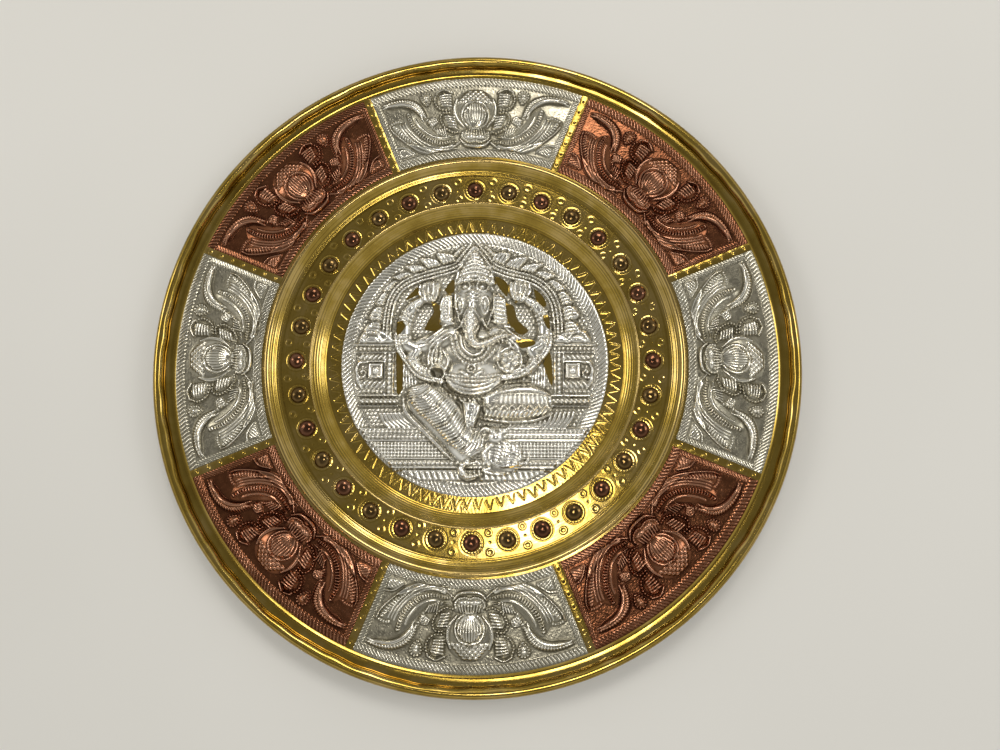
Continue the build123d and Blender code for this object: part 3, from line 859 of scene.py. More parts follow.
def rubbed_sheen_and_shade(height):
    """Shade of a repousse sheet: raised forms painted bright and the ground painted dull, as polish from
    rubbing and as painted highlight and painted shade.
    """
    rubbed_sheen = np.clip(height * rubbed_sheen_gain - rubbed_sheen_start, rubbed_sheen_least, rubbed_sheen_most)
    return np.clip(relief_shade(height) + rubbed_sheen, -1, 1)


def ring_points(radius, height, angle):
    """Places at a radius and a height, at angles that start from +Y and run clockwise."""
    return np.stack([radius * np.sin(angle), radius * np.cos(angle), height * np.ones_like(angle)], axis=-1)


def sampled(relief, x, y):
    """Heights of a drawn relief at any drawing places, between its cells."""
    step_x, step_y = relief.x[0, 1] - relief.x[0, 0], relief.y[1, 0] - relief.y[0, 0]
    rows, columns = relief.height.shape
    column = np.clip((x - relief.x[0, 0]) / step_x, 0, columns - 1.001)
    row = np.clip((y - relief.y[0, 0]) / step_y, 0, rows - 1.001)
    c, r = column.astype(int), row.astype(int)
    dc, dr = column - c, row - r
    h = relief.height
    low = h[r, c] * (1 - dc) + h[r, c + 1] * dc
    high = h[r + 1, c] * (1 - dc) + h[r + 1, c + 1] * dc
    return low * (1 - dr) + high * dr


def waves(x, y, reach, generator, count=6):
    """Slow seeded unevenness between about -1 and 1, at the given size."""
    total = np.zeros_like(x)
    for heading, phase in zip(generator.uniform(0, full_turn, count), generator.uniform(0, full_turn, count)):
        total += np.cos((x * math.cos(heading) + y * math.sin(heading)) * full_turn / reach + phase)
    return total / count ** 0.5


def grid_mesh(name, points, keep=None, ring=False):
    """Surface over a grid of points, or over the cells of it that are kept."""
    rows, columns = points.shape[:2]
    index = np.arange(rows * columns).reshape(rows, columns)
    right = np.roll(index, -1, axis=1)
    cells = np.stack([index[:-1], right[:-1], right[1:], index[1:]], axis=-1)
    if not ring:
        cells = cells[:, :-1]
    cells = cells.reshape(-1, 4) if keep is None else cells[keep]
    used = np.unique(cells)
    renumber = np.zeros(rows * columns, int)
    renumber[used] = np.arange(len(used))
    mesh = bpy.data.meshes.new(name)
    mesh.from_pydata(points.reshape(-1, 3)[used].tolist(), [], renumber[cells].tolist())
    return mesh


def close_below(mesh, floor, holes=()):
    """Walls from the border of a surface down to a flat underside, which stays open in the holes."""
    work = bmesh.new()
    work.from_mesh(mesh)
    border = [edge for edge in work.edges if edge.is_boundary]
    made = bmesh.ops.extrude_edge_only(work, edges=border)["geom"]
    for vertex in made:
        if isinstance(vertex, bmesh.types.BMVert):
            vertex.co.z = floor
    lower = [edge for edge in made if isinstance(edge, bmesh.types.BMEdge) and edge.is_boundary]
    filled = bmesh.ops.triangle_fill(work, edges=lower, use_beauty=False, normal=(0, 0, -1))["geom"]
    faces = [face for face in filled if isinstance(face, bmesh.types.BMFace)]
    centres = np.array([face.calc_center_median() for face in faces])
    in_hole = np.zeros(len(faces), bool)
    for hole in holes:
        in_hole |= inside_line(hole, centres[:, 0], centres[:, 1])
    for number in np.flatnonzero(in_hole):
        work.faces.remove(faces[number])
    bmesh.ops.recalc_face_normals(work, faces=work.faces)
    work.to_mesh(mesh)
    work.free()


def joined(name, meshes, weld=0):
    """One mesh of several. A weld distance merges places closer than that and closes what is open."""
    work = bmesh.new()
    for mesh in meshes:
        work.from_mesh(mesh)
        bpy.data.meshes.remove(mesh)
    if weld:
        bmesh.ops.remove_doubles(work, verts=work.verts, dist=weld)
        bmesh.ops.holes_fill(work, edges=[edge for edge in work.edges if edge.is_boundary], sides=0)
        bmesh.ops.recalc_face_normals(work, faces=work.faces)
    whole = bpy.data.meshes.new(name)
    work.to_mesh(whole)
    work.free()
    return whole


def make_piece(mesh, material, slot, node, shade=(), sharp_angle=60):
    """Puts a mesh in the scene for a CAD node: smooth with crisp rims, and shaded for its material."""
    values = np.zeros(len(mesh.vertices))
    values[:len(shade)] = shade
    mesh.attributes.new("relief_shade", "FLOAT", "POINT").data.foreach_set("value", values)
    mesh.shade_smooth()
    mesh.set_sharp_from_angle(angle=math.radians(sharp_angle))
    mesh.materials.append(material)
    piece = bpy.data.objects.new(mesh.name, mesh)
    bpy.context.scene.collection.objects.link(piece)
    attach(piece, "root")
    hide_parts(node)


# The lac under the sheets

lac_gap = 0.5


def lac_fill(points, height, base, material, node):
    """Lac that fills the hollows under the higher forms of a sheet, a little below its face."""
    low = height.copy()
    for shift in (-1, 1):
        for axis in (0, 1):
            low = np.minimum(low, np.roll(height, shift, axis=axis))
    low = low - lac_gap
    points = points.copy()
    points[..., 2] = base + np.maximum(low, 0) * mm
    inside = low > lac_gap
    keep = inside[:-1, :-1] & inside[1:, :-1] & inside[:-1, 1:] & inside[1:, 1:]
    mesh = grid_mesh(f"{node}_fill", points, keep)
    close_below(mesh, base - sheet_thickness)
    make_piece(mesh, material, "lac", node)


# The lotus panels

lowest_dent = -0.2
panel_rows = 176
panel_columns = 420
panel_lac_step = 3
panel_grain = 0.035
warp_units, warp_reach = 3, 420
swell_share, swell_reach = 0.06, 300
dent_depth, dent_reach = 0.05, 160
inner_border, inner_rise = 4.0 * mm, 0.42
outer_border, outer_rise = 4.6 * mm, 0.34
side_border, side_rise = 3.0 * mm, 0.26
border_pitch = 1.8 * mm
border_slant = 0.8
side_pitch = border_pitch * 0.8
border_slope_share = 0.25
border_line_width, border_line_rise = 0.35 * mm, 0.55
form_over_border = 0.4


def panel_border(radius, angle, half_angle):
    """Hatched border round a panel: which cells it covers, and its height in millimetres."""
    from_side = (half_angle - np.abs(angle)) * radius
    from_inner = radius - panel_inner
    from_outer = panel_outer - radius
    run = angle * radius
    inner_wave = np.cos(full_turn * (run + from_inner) / border_pitch)
    outer_wave = np.cos(full_turn * (run - from_outer * border_slant) / border_pitch)
    side_wave = np.cos(full_turn * (radius + from_side * np.sign(angle)) / side_pitch)
    height = np.zeros_like(radius)
    cover = np.zeros(radius.shape, bool)
    for distance, width, wave, rise in (
        (from_side, side_border, side_wave, side_rise),
        (from_outer, outer_border, outer_wave, outer_rise),
        (from_inner, inner_border, inner_wave, inner_rise),
    ):
        inside = distance < width
        edge = np.clip(np.minimum(distance, width - distance) / (border_slope_share * width), 0, 1)
        height = np.where(inside, edge * rise * (0.5 + 0.5 * wave), height)
        cover |= inside
    line = hump(from_inner - inner_border, border_line_width)
    return cover, np.maximum(height, border_line_rise * line * (from_side > side_border))


def panel_sheet(index, motif, metal, slot, lac):
    """One repousse sheet with its lac, and with its own small unevenness."""
    generator = np.random.default_rng(panel_seed + index)
    land_half = land_width / 2 + seat_gap
    radius = np.linspace(panel_inner, panel_outer, panel_rows)[:, None] * np.ones(panel_columns)
    half_angle = full_turn / panel_count / 2 - np.arcsin(land_half / radius)
    angle = np.linspace(-1, 1, panel_columns) * half_angle
    x = np.degrees(angle) * units_per_degree
    y = (radius - panel_inner) / (panel_outer - panel_inner) * panel_units
    warp_x = waves(x, y, warp_reach, generator) * warp_units
    warp_y = waves(x, y, warp_reach, generator) * warp_units
    swell = 1 + swell_share * waves(x, y, swell_reach, generator)
    form = sampled(motif, x + warp_x, y + warp_y) * swell
    grain = stippled(x.shape, panel_grain, generator) * np.clip(1 - form, 0.2, 1)
    cover, border = panel_border(radius, angle, half_angle)
    height = np.where(cover, np.maximum(border, form * form_over_border), form) + grain
    height = np.maximum(height + dent_depth * waves(x, y, dent_reach, generator), lowest_dent)
    points = ring_points(radius, field_height + height * mm, angle + index * full_turn / panel_count)
    number = index // 2 + 1
    mesh = grid_mesh(f"{slot}_panel_{number}_sheet", points)
    close_below(mesh, panel_floor)
    # The sheet's shade paints its raised forms bright and its ground dark: painted highlight and painted
    # shade, with polish from rubbing.
    make_piece(mesh, metal, slot, f"{slot}_panel_{number}", rubbed_sheen_and_shade(height).ravel())
    coarse = (slice(None, None, panel_lac_step),) * 2
    lac_fill(points[coarse], height[coarse], field_height, lac, f"{slot}_panel_lac_{number}")


# The medallion

medallion_grain = 0.05
medallion_dent, medallion_dent_reach = 0.06, 260
medallion_lac_step = 2
rim_pull_cells = 1.5


def nearest_on(line, points):
    """Nearest places on a closed line, and how far off they are."""
    best = np.full(len(points), np.inf)
    found = points.copy()
    for a, b in zip(line, np.roll(line, -1, axis=0)):
        step = b - a
        share = np.clip(((points - a) @ step) / max(step @ step, 1e-12), 0, 1)
        here = a + share[:, None] * step
        distance = np.hypot(*(points - here).T)
        closer = distance < best
        best = np.where(closer, distance, best)
        found = np.where(closer[:, None], here, found)
    return found, best


def pulled_to_edges(places, holes, reach):
    """Places near the round rim or the border of an opening, moved onto it."""
    distance = np.hypot(places[:, 0], places[:, 1])
    on_rim = np.abs(distance - medallion_units) < reach
    moved = np.where(on_rim[:, None], places * (medallion_units / distance)[:, None], places)
    for hole in holes:
        found, gap = nearest_on(hole, places)
        moved = np.where((gap < reach)[:, None] & ~on_rim[:, None], found, moved)
    return moved


def medallion_sheet(metal, lac):
    """Pierced repousse sheet and its lac: cells outside the rim and in the openings are left out."""
    generator = np.random.default_rng(medallion_seed)
    relief = draw_medallion()
    unit = medallion_radius / medallion_units
    grain = stippled(relief.x.shape, medallion_grain, generator) * np.clip(1.2 - relief.height, 0.2, 1)
    dents = medallion_dent * waves(relief.x, relief.y, medallion_dent_reach, generator)
    height = np.maximum(relief.height + grain + dents, lowest_dent)
    flat = np.stack([relief.x, relief.y], axis=-1)
    middle = (flat[:-1, :-1] + flat[1:, 1:]) / 2
    keep = np.hypot(middle[..., 0], middle[..., 1]) < medallion_units
    holes = [curve(list(points) + [points[0]], 4)[:-1] for points in openings]
    for hole in holes:
        keep &= ~inside_line(hole, middle[..., 0], middle[..., 1])
    counts = np.zeros(relief.x.shape, int)
    for rows in (slice(None, -1), slice(1, None)):
        for columns in (slice(None, -1), slice(1, None)):
            counts[rows, columns] += keep
    edge = (counts > 0) & (counts < 4)
    flat[edge] = pulled_to_edges(flat[edge], holes, rim_pull_cells * medallion_units / medallion_cells)
    points = np.concatenate([flat * unit, (medallion_face + height * mm)[..., None]], axis=-1)
    mesh = grid_mesh("medallion_sheet", points, keep)
    close_below(mesh, brass_thickness, [hole * unit for hole in holes])
    # The sheet's shade paints its raised forms bright and its ground dark: painted highlight and painted
    # shade, with polish from rubbing.
    make_piece(mesh, metal, "silver", "medallion", rubbed_sheen_and_shade(height)[counts > 0])
    coarse = (slice(None, None, medallion_lac_step),) * 2
    lac_fill(points[coarse], np.where(counts == 4, height, 0)[coarse], medallion_face, lac, "medallion_lac")


# The brass plate

around = 640
overlay_drop = 0.6 * mm
chase_gap = 0.3 * mm
lip_width = 1.2 * mm
lip_rise = 0.35 * mm
wall_start = 0.1 * mm
wall_sag = 0.3 * mm
cove_sag = 0.7 * mm
tool_depth = 0.05 * mm
bead_steps = 8
raw_edge_width, raw_edge_inward, raw_edge_upward = 0.9 * mm, 0.14 * mm, 0.05 * mm
raw_edge_lobes = (5, 9, 14, 23, 37, 61)
plate_swell, plate_swell_turn = 0.03 * mm, 9 * mm
crisp_angle = 35


def arc(centre_radius, centre_height, radius, start, end, steps):
    angles = np.radians(np.linspace(start, end, steps))
    return [(centre_radius + radius * math.cos(a), centre_height + radius * math.sin(a)) for a in angles]


def sagging(start, end, sag, steps):
    """Hollow line between two places of the section."""
    shares = np.linspace(0, 1, steps)
    return [
        (start[0] + (end[0] - start[0]) * t, start[1] + (end[1] - start[1]) * t - sag * math.sin(math.pi * t))
        for t in shares
    ]


def turned(line):
    """Line of the section with the fine steps that the turning tool leaves."""
    steps = [tool_depth * math.sin(number * math.pi / 2) for number in range(len(line))]
    return [(radius, height + step) for (radius, height), step in zip(line, steps)]


def bead(start, width, height, rise):
    """Round bead on the section, without its two ends."""
    shares = np.arange(1, bead_steps) / bead_steps
    return [(start + width * t, height + rise * math.sin(math.pi * t)) for t in shares]


def plate_profile():
    """Section of the plate from the centre of its face, over the rolled rim, to the centre below."""
    under_sheet = brass_thickness - 0.02 * mm
    under_chasing = brass_thickness - overlay_drop
    wall_foot = (floor_radius, brass_thickness + wall_start)
    lip_outer = ledge_inner + lip_width
    top = [
        (0, under_sheet),
        (medallion_radius - 3 * chase_gap, under_sheet),
        (medallion_radius - 3 * chase_gap, under_chasing),
        (floor_radius - chase_gap, under_chasing),
        (floor_radius - chase_gap, brass_thickness),
        wall_foot,
        *turned(sagging(wall_foot, (ledge_inner, ledge_height), wall_sag, 25)[1:]),
        *bead(ledge_inner, lip_width, ledge_height, lip_rise),
        (lip_outer, ledge_height),
        (lip_outer, ledge_height - overlay_drop),
        (ledge_outer - chase_gap, ledge_height - overlay_drop),
        (ledge_outer - chase_gap, ledge_height),
        *turned(sagging((ledge_outer, ledge_height), (collar_inner, field_height), cove_sag, 25)),
        *bead(collar_inner, collar_width, field_height, collar_rise),
        (collar_inner + collar_width, field_height),
        (panel_inner - seat_gap, field_height),
        (panel_inner - seat_gap, panel_floor),
        (panel_outer + seat_gap, panel_floor),
        *sagging((panel_outer + seat_gap, field_height), (band_inner, band_height), -0.1 * mm, 5),
        *[(band_inner + (roll_centre - band_inner) * share, band_height) for share in (0.3, 0.6)],
    ]
    roll = arc(roll_centre, roll_height, roll_bore, -90, 200, 24)
    roll += arc(roll_centre, roll_height, roll_radius, 200, -90, 34)
    cove_top = (collar_inner, field_height - brass_thickness)
    under = [
        (band_inner, band_height - brass_thickness),
        (panel_outer, field_height - brass_thickness),
        *sagging(cove_top, (ledge_outer, ledge_height - brass_thickness), cove_sag, 8),
        (ledge_inner, ledge_height - brass_thickness),
        (floor_radius, 0),
        (0, 0),
    ]
    return top + roll + under


def edge_sheen_and_corner_shade(mesh):
    """Bright on the raised lip and collar bead, where hands and cloths polish them, and as painted highlight;
    dark in the corners of the section, as dirt and painted shade.
    """
    place = np.zeros(len(mesh.vertices) * 3)
    mesh.vertices.foreach_get("co", place)
    place = place.reshape(-1, 3)
    radius = np.hypot(place[:, 0], place[:, 1])
    sheen_and_shade = np.zeros(len(radius))
    for centre, width, strength in (
        (ledge_inner + lip_width / 2, 0.6 * mm, 0.7),
        (collar_inner + collar_width / 2, 1.0 * mm, 0.7),
        (floor_radius, 0.8 * mm, -0.5),
        (ledge_outer, 0.7 * mm, -0.4),
        (band_inner, 1.5 * mm, -0.4),
    ):
        sheen_and_shade += strength * hump(radius - centre, width)
    return np.where(place[:, 2] > 0, sheen_and_shade, 0)


def plate_body(material):
    """Spun plate with a rolled rim whose raw edge wavers."""
    generator = np.random.default_rng(plate_seed)
    angle = np.arange(around) * full_turn / around
    waver = np.zeros(around)
    for lobes in raw_edge_lobes:
        waver += generator.uniform(0.3, 1) * np.sin(lobes * angle + generator.uniform(0, full_turn))
    rings = []
    for radius, height in plate_profile():
        raw_edge = hump(radius - (roll_centre - roll_radius), raw_edge_width) * (height > band_height) * waver
        swells = radius > medallion_radius and height > 0
        swell = plate_swell * np.sin(3 * angle + radius / plate_swell_turn) * swells
        upward = swell + raw_edge * raw_edge_upward
        rings.append(ring_points(radius - raw_edge * raw_edge_inward, height + upward, angle))
    mesh = joined("plate_body", [grid_mesh("turning", np.array(rings), ring=True)], 1e-7)
    make_piece(mesh, material, "brass", "base_plate", edge_sheen_and_corner_shade(mesh), crisp_angle)


# Chased brass

triangle_count = 80
triangle_start, triangle_length = 1.2 * mm, 4.6 * mm
triangle_half_share = 0.34
triangle_shift, triangle_slip = 0.06, 0.1
triangle_overrun, triangle_fade = 0.05, 0.12
weakest_blow, strongest_blow = 0.6, 1.15
cut_depth, cut_width = 0.17, 0.34 * mm
burr_rise, burr_offset, burr_width = 0.06, 0.6 * mm, 0.3 * mm
chased_grain = 0.02
ledge_grain = 0.006
stud_collar_rise, stud_collar_offset, stud_collar_width = 0.11, 0.5 * mm, 0.42 * mm
stud_groove_depth, stud_groove_offset, stud_groove_width = 0.08, 1.15 * mm, 0.36 * mm
stud_collar_teeth = 20
punch_offset, punch_size = 4.4 * mm, 1.4 * mm
punch_rise, punch_width = 0.11, 0.4 * mm
punch_dip, punch_dip_width = 0.03, 0.7 * mm
dot_depth, dot_width = 0.10, 0.5 * mm
land_rows, land_columns = 130, 13
land_dots = 7
land_crown = 0.12
land_dot_depth, land_dot_width = 0.25, 0.5 * mm
land_burr_rise, land_burr_offset, land_burr_width = 0.06, 0.9 * mm, 0.3 * mm


def chased_ring(name, inner, outer, height, rows, columns, chasing, material):
    """Brass ring whose face is punched and chased; the chasing gives heights in millimetres."""
    generator = np.random.default_rng(chasing_seed + rows)
    radius = np.linspace(inner, outer, rows)[:, None] * np.ones(columns)
    angle = np.arange(columns) * full_turn / columns * np.ones((rows, 1))
    depth = chasing(radius, angle, generator)
    mesh = grid_mesh(name, ring_points(radius, height + depth * mm, angle), ring=True)
    close_below(mesh, height - overlay_drop)
    # The chasing's relief shade paints the cuts and grooves dark and the raised rings and burrs bright:
    # painted shade and painted highlight.
    make_piece(mesh, material, "brass", "base_plate", relief_shade(depth).ravel())


def triangle_punches(radius, angle, generator):
    """Zigzag of chisel cuts: two slanting cuts meet in each point of the row."""
    turn = angle / full_turn * triangle_count
    number = np.floor(turn).astype(int) % triangle_count
    across = turn % 1 - 0.5 + generator.uniform(-triangle_shift, triangle_shift, triangle_count)[number]
    outward = (radius - medallion_radius - triangle_start) / triangle_length
    outward = outward + generator.uniform(-triangle_slip, triangle_slip, triangle_count)[number]
    pitch = full_turn * (medallion_radius + 4 * mm) / triangle_count
    off_cut = (np.abs(across) - triangle_half_share * (1 - outward)) * pitch
    to_end = np.minimum(outward, 1 - outward) + triangle_overrun
    within = np.clip(to_end / triangle_fade, 0, 1)
    cut = hump(off_cut, cut_width) * within
    burr = hump(off_cut - burr_offset, burr_width) * within
    strength = generator.uniform(weakest_blow, strongest_blow, triangle_count)[number]
    return strength * (burr_rise * burr - cut_depth * cut) + stippled(radius.shape, chased_grain, generator)


def ledge_punches(radius, angle, generator):
    """Serrated collar round each stud, and a punched ring, dot and ring between the studs."""
    step = full_turn / stud_count
    out = radius - stud_circle
    from_stud = ((angle + step / 2) % step - step / 2) * stud_circle
    from_middle = (angle % step - step / 2) * stud_circle
    past_stud = np.hypot(from_stud, out) - stud_radius
    teeth = 0.82 + 0.18 * np.cos(stud_collar_teeth * np.arctan2(out, from_stud))
    height = stud_collar_rise * hump(past_stud - stud_collar_offset, stud_collar_width) * teeth
    height -= stud_groove_depth * hump(past_stud - stud_groove_offset, stud_groove_width)
    for offset in (punch_offset, -punch_offset):
        distance = np.hypot(from_middle, out - offset)
        height += punch_rise * hump(distance - punch_size, punch_width)
        height -= punch_dip * hump(distance, punch_dip_width)
    height -= dot_depth * hump(np.hypot(from_middle, out), dot_width)
    return height + stippled(radius.shape, ledge_grain, generator)


def land_strips(material):
    """Brass lands between the panels, each with a row of punched dots."""
    generator = np.random.default_rng(land_seed)
    ends = 0.3 * mm
    out = np.linspace(panel_inner - ends, panel_outer + ends, land_rows)[:, None] * np.ones(land_columns)
    across = np.linspace(-1, 1, land_columns) * land_width / 2 * np.ones((land_rows, 1))
    pitch = (panel_outer - panel_inner) / land_dots
    to_dot = np.hypot(across, (out - panel_inner) % pitch - pitch / 2)
    depth = land_burr_rise * hump(to_dot - land_burr_offset, land_burr_width)
    depth -= land_dot_depth * hump(to_dot, land_dot_width)
    crown = land_crown * (1 - (across / (land_width / 2)) ** 2)
    meshes, shades = [], []
    for index in range(panel_count):
        height = depth + crown + stippled(depth.shape, chased_grain, generator)
        turn = (index + 0.5) * full_turn / panel_count
        x = out * math.sin(turn) + across * math.cos(turn)
        y = out * math.cos(turn) - across * math.sin(turn)
        mesh = grid_mesh("land", np.stack([x, y, field_height + height * mm], axis=-1))
        close_below(mesh, panel_floor - 0.2 * mm)
        meshes.append(mesh)
        # Painted shade in the punched dots and painted highlight on their burrs, from the relief shade.
        shades.append(np.pad(relief_shade(depth).ravel(), (0, len(mesh.vertices) - depth.size)))
    make_piece(joined("land_strips", meshes), material, "brass", "base_plate", np.concatenate(shades))


# The studs

stud_sides, stud_rows = 32, 10
stud_least_size = 0.96
stud_height_share = 0.96
stud_ovalness, stud_dent, stud_lean = 0.02, 0.03, 0.1


def stud_mesh(index, generator):
    """Domed stud, a little dented by its setting."""
    angle = np.arange(stud_sides) * full_turn / stud_sides
    phase = generator.uniform(0, full_turn, 3)
    size = generator.uniform(stud_least_size, 1.0)
    lean = generator.uniform(-stud_lean, stud_lean, 2)
    turn = index * full_turn / stud_count
    x, y = stud_circle * math.sin(turn), stud_circle * math.cos(turn)
    rings = []
    for slope in np.linspace(0, math.pi / 2, stud_rows + 1):
        share = math.cos(slope)
        spread = math.sin(slope) + 1e-4
        out = stud_radius * spread * size * (1 + stud_ovalness * np.sin(2 * angle + phase[0]) * spread)
        dent = stud_dent * np.sin(3 * angle + phase[1]) * spread * share
        tilt = (lean[0] * np.cos(angle) + lean[1] * np.sin(angle)) * spread * share
        height = ledge_height + stud_rise * stud_height_share * np.clip(share + dent + tilt, 0, 1)
        rings.append(np.stack([x + out * np.cos(angle), y + out * np.sin(angle), height], axis=-1))
    return grid_mesh("stud", np.array(rings), ring=True)


def studs(metal, first, material):
    """Every second stud, all in one piece."""
    generator = np.random.default_rng(stud_seed + first)
    meshes = [stud_mesh(index, generator) for index in range(first, stud_count, 2)]
    make_piece(joined(f"{metal}_stud_domes", meshes, 5e-6), material, metal, f"{metal}_studs")


# Materials

class Shading:
    """Shader nodes of a material or of the world."""

    def __init__(self, owner):
        owner.use_nodes = True
        self.nodes = owner.node_tree.nodes
        self.links = owner.node_tree.links

    def feed(self, node, inputs):
        """Gives each input of a node a plain value or another node's output."""
        for socket, value in inputs.items():
            if isinstance(value, bpy.types.NodeSocket):
                self.links.new(value, node.inputs[socket])
            else:
                node.inputs[socket].default_value = value

    def node(self, kind, inputs, output=0, operation=None):
        """Adds a node and gives one of its outputs."""
        node = self.nodes.new(f"ShaderNode{kind}")
        if operation:
            node.operation = operation
        self.feed(node, inputs)
        return node.outputs[output]

    def place(self, kind="Object"):
        return self.node("TexCoord", {}, kind)

    def shade(self):
        """The relief's shade that the mesh carries."""
        shade = self.node("Attribute", {}, "Fac")
        shade.node.attribute_name = "relief_shade"
        return shade

    def noise(self, scale, detail, vector=None, roughness=0.5):
        inputs = {"Scale": scale, "Detail": detail, "Roughness": roughness, "Vector": vector or self.place()}
        return self.node("TexNoise", inputs, "Fac")

    def spread(self, value, low, high, out_low, out_high):
        """A value taken from one span to another."""
        inputs = {"Value": value, "From Min": low, "From Max": high, "To Min": out_low, "To Max": out_high}
        return self.node("MapRange", inputs, "Result")

    def maths(self, operation, first, second):
        return self.node("Math", {0: first, 1: second}, operation=operation)

    def total(self, first, second):
        """Sum, kept between 0 and 1."""
        result = self.maths("ADD", first, second)
        result.node.use_clamp = True
        return result

    def ramp(self, value, *stops):
        """Colour from a value by (place, colour) stops."""
        result = self.node("ValToRGB", {"Fac": value}, "Color")
        elements = result.node.color_ramp.elements
        while len(elements) < len(stops):
            elements.new(0.5)
        for element, (place, colour) in zip(elements, stops):
            element.position = place
            element.color = (*colour, 1)
        return result

    def bump(self, value, distance):
        return self.node("Bump", {"Height": value, "Distance": distance}, "Normal")

    def polar(self, along, across):
        """Coordinates that run round the plate, stretched along the turning lines of the spinning."""
        x, y, z = self.node("SeparateXYZ", {0: self.place()}).node.outputs
        angle = self.maths("ARCTAN2", y, x)
        flat = self.node("CombineXYZ", {"X": x, "Y": y})
        out = self.node("VectorMath", {0: flat}, "Value", "LENGTH")
        scaled = {"X": self.maths("MULTIPLY", angle, along), "Y": self.maths("MULTIPLY", out, across), "Z": z}
        return self.node("CombineXYZ", scaled)


def new_material(name):
    material = bpy.data.materials.new(name)
    shading = Shading(material)
    return material, shading, shading.nodes["Principled BSDF"]


def sheet_metal(name, hollow, middle, crest, smooth, rough):
    """Aged repousse sheet: dark in its hollows and bright on its crests, as patina and polish and as painted
    shade and painted highlight, blotched between.
    """
    material, shading, surface = new_material(name)
    blotch = shading.spread(shading.noise(90, 5), 0.3, 0.7, -0.14, 0.14)
    # Painted shade in the hollows and painted highlight on the crests, from the mesh's relief shade, over
    # patina and polish.
    tone = shading.total(shading.spread(shading.shade(), -1, 1, 0, 1), blotch)
    grain = shading.spread(shading.noise(420, 3), 0.3, 0.7, -0.06, 0.06)
    shading.feed(surface, {
        "Base Color": shading.ramp(tone, (0.0, hollow), (0.5, middle), (0.85, crest)),
        "Metallic": 1,
        "Roughness": shading.total(shading.spread(tone, 0.1, 0.9, rough, smooth), grain),
        "Normal": shading.bump(shading.noise(1100, 3), 0.05 * mm),
    })
    return material


def spun_brass():
    """Old brass: turning lines from the spinning, brown patina in blotches and in the punched cuts, painted
    highlight on raised lips, beads and punches, painted shade in corners and cuts.
    """
    material, shading, surface = new_material("spun_brass")
    lines = shading.noise(1, 3, shading.polar(1.2, 1500))
    patina = shading.spread(shading.noise(55, 6, roughness=0.6), 0.35, 0.68, 0, 0.55)
    tone = shading.total(patina, shading.spread(lines, 0.3, 0.75, -0.07, 0.12))
    # Painted light from the mesh's relief shade: raised lips, beads and punched rings painted brighter,
    # corners and cuts painted darker, over patina in the cuts.
    marks_and_painted_light = shading.spread(shading.shade(), -0.7, 0.7, 0.5, -0.4)
    colours = (
        (0.0, (0.52, 0.37, 0.13)), (0.35, (0.37, 0.25, 0.050)),
        (0.7, (0.24, 0.152, 0.025)), (1.0, (0.085, 0.049, 0.012)),
    )
    shading.feed(surface, {
        "Base Color": shading.ramp(shading.total(tone, marks_and_painted_light), *colours),
        "Metallic": 1,
        "Roughness": shading.spread(tone, 0, 0.8, 0.09, 0.26),
        "Normal": shading.bump(lines, 0.018 * mm),
    })
    return material


def lac_resin():
    """Dark resin with dust in it."""
    material, shading, surface = new_material("lac_resin")
    colours = ((0.35, (0.05, 0.02, 0.012)), (0.7, (0.16, 0.07, 0.035)))
    shading.feed(surface, {
        "Base Color": shading.ramp(shading.noise(260, 4), *colours),
        "Roughness": shading.spread(shading.noise(500, 2), 0.3, 0.7, 0.45, 0.75),
    })
    return material


def drawn_wire():
    """Drawn steel wire with rust specks."""
    material, shading, surface = new_material("drawn_wire")
    colours = ((0.45, (0.42, 0.41, 0.40)), (0.7, (0.20, 0.10, 0.05)))
    shading.feed(surface, {
        "Base Color": shading.ramp(shading.noise(300, 4), *colours),
        "Metallic": 1,
        "Roughness": shading.spread(shading.noise(700, 2), 0.3, 0.7, 0.3, 0.55),
    })
    return material


def floor_paint():
    """Pale matt table top with a faint unevenness."""
    material, shading, surface = new_material("pale_floor")
    colours = ((0.3, (0.72, 0.70, 0.65)), (0.7, (0.76, 0.74, 0.69)))
    shading.feed(surface, {
        "Base Color": shading.ramp(shading.noise(3, 3), *colours),
        "Roughness": 0.9,
    })
    return material


# Pieces

chased_margin = 0.4 * mm
brass = spun_brass()
silver = sheet_metal(
    "silver_sheet", (0.22, 0.20, 0.15), (0.60, 0.565, 0.475), (0.88, 0.85, 0.77), 0.12, 0.30)
panel_silver = sheet_metal(
    "panel_silver", (0.17, 0.152, 0.105), (0.355, 0.326, 0.246), (0.75, 0.71, 0.605), 0.10, 0.36)
copper = sheet_metal(
    "copper_sheet", (0.05, 0.016, 0.008), (0.20, 0.076, 0.034), (0.43, 0.215, 0.13), 0.10, 0.26)
# The silver studs' olive-brown is tarnish and a painted reflection of the brass round them.
stud_silver = sheet_metal(
    "stud_silver", (0.035, 0.021, 0.008), (0.135, 0.083, 0.03), (0.33, 0.235, 0.11), 0.08, 0.18)
stud_copper = sheet_metal(
    "stud_copper", (0.032, 0.012, 0.006), (0.13, 0.058, 0.03), (0.33, 0.17, 0.10), 0.08, 0.18)
lac = lac_resin()

plate_body(brass)
chased_ring(
    "floor_chasing", medallion_radius - chased_margin, floor_radius - chased_margin / 2,
    brass_thickness, 24, 1920, triangle_punches, brass)
chased_ring(
    "ledge_chasing", ledge_inner + lip_width - chased_margin / 2, ledge_outer - chased_margin / 2,
    ledge_height, 52, 1760, ledge_punches, brass)
land_strips(brass)

motif = draw_motif()
for index in range(panel_count):
    slot, metal = (("silver", panel_silver), ("copper", copper))[index % 2]
    panel_sheet(index, motif, metal, slot, lac)
medallion_sheet(silver, lac)
studs("copper", 0, stud_copper)
studs("silver", 1, stud_silver)

rim_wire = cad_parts["rim_wire"]
rim_wire.data.materials.clear()
rim_wire.data.materials.append(drawn_wire())


# Floor, light and camera

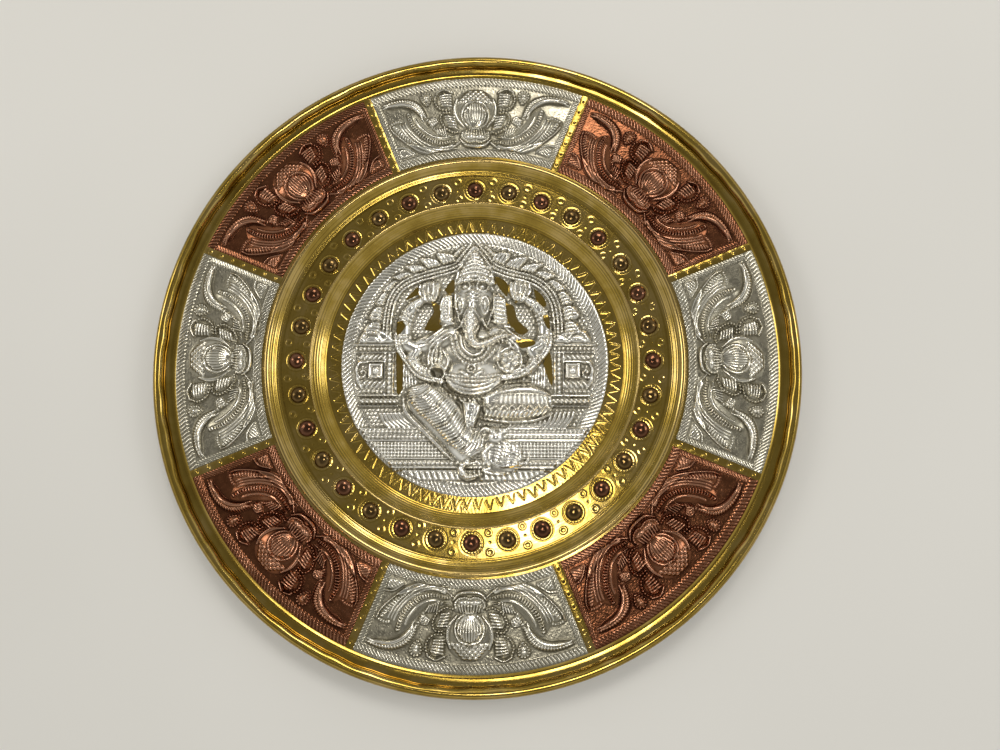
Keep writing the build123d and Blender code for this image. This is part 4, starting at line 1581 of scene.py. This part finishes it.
floor_half = 3.0
plate_middle = (0, 0, 0)
warm_white = (1.0, 0.98, 0.95)
lamp_side = 0.36
camera_place = Vector((25.8, -57.3, 353.6)) * mm
camera_lean = 0.14379
camera_swing = -0.03706
camera_lens = 26.64


def make_floor():
    mesh = bpy.data.meshes.new("floor")
    mesh.from_pydata([(-floor_half, -floor_half, 0), (floor_half, -floor_half, 0),
                      (floor_half, floor_half, 0), (-floor_half, floor_half, 0)], [], [(0, 1, 2, 3)])
    mesh.materials.append(floor_paint())
    floor = bpy.data.objects.new("floor", mesh)
    bpy.context.scene.collection.objects.link(floor)


def soft_lamp(name, place, side, power, colour):
    """Square lamp that looks at the middle of the plate."""
    data = bpy.data.lights.new(name, "AREA")
    data.shape = "RECTANGLE"
    data.size = side
    data.size_y = side
    data.energy = power
    data.color = colour
    lamp = bpy.data.objects.new(name, data)
    lamp.location = place
    lamp.rotation_euler = (Vector(plate_middle) - Vector(place)).to_track_quat("-Z", "Y").to_euler()
    bpy.context.scene.collection.objects.link(lamp)


def set_world():
    """Room that is pale all round and dim overhead."""
    world = bpy.data.worlds.new("room")
    bpy.context.scene.world = world
    shading = Shading(world)
    height = shading.node("SeparateXYZ", {0: shading.place("Generated")}, "Z")
    colours = (
        (0.0, (0.32, 0.32, 0.31)), (0.26, (0.36, 0.36, 0.35)), (0.44, (0.72, 0.72, 0.70)),
        (0.66, (0.72, 0.72, 0.70)), (0.84, (0.28, 0.275, 0.26)), (1.0, (0.22, 0.218, 0.21)),
    )
    shading.feed(shading.nodes["Background"], {"Color": shading.ramp(height, *colours), "Strength": 1.0})


def set_camera():
    """Camera over the plate, leaning a little, as the photograph was taken."""
    cl, sl = math.cos(camera_lean), math.sin(camera_lean)
    cs, ss = math.cos(camera_swing), math.sin(camera_swing)
    data = bpy.data.cameras.new("camera")
    data.lens = camera_lens
    data.sensor_width = 36
    data.clip_start = 0.01
    camera = bpy.data.objects.new("camera", data)
    turn = Matrix(((cs, 0, -ss), (-sl * ss, cl, -sl * cs), (cl * ss, sl, cl * cs)))
    camera.matrix_world = Matrix.Translation(camera_place) @ turn.to_4x4()
    bpy.context.scene.collection.objects.link(camera)
    bpy.context.scene.camera = camera


make_floor()
soft_lamp("top", (0.15, 0.80, 1.05), lamp_side, 3.6, warm_white)
soft_lamp("overhead", (0.03, -0.12, 1.20), 0.20, 2.0, (1.0, 0.98, 0.94))
soft_lamp("left", (-0.95, 0.25, 0.85), lamp_side, 1.7, warm_white)
soft_lamp("right", (0.95, 0.20, 0.85), lamp_side, 1.8, (0.97, 0.98, 1.0))
set_world()
set_camera()
bpy.context.scene.view_settings.view_transform = "Standard"
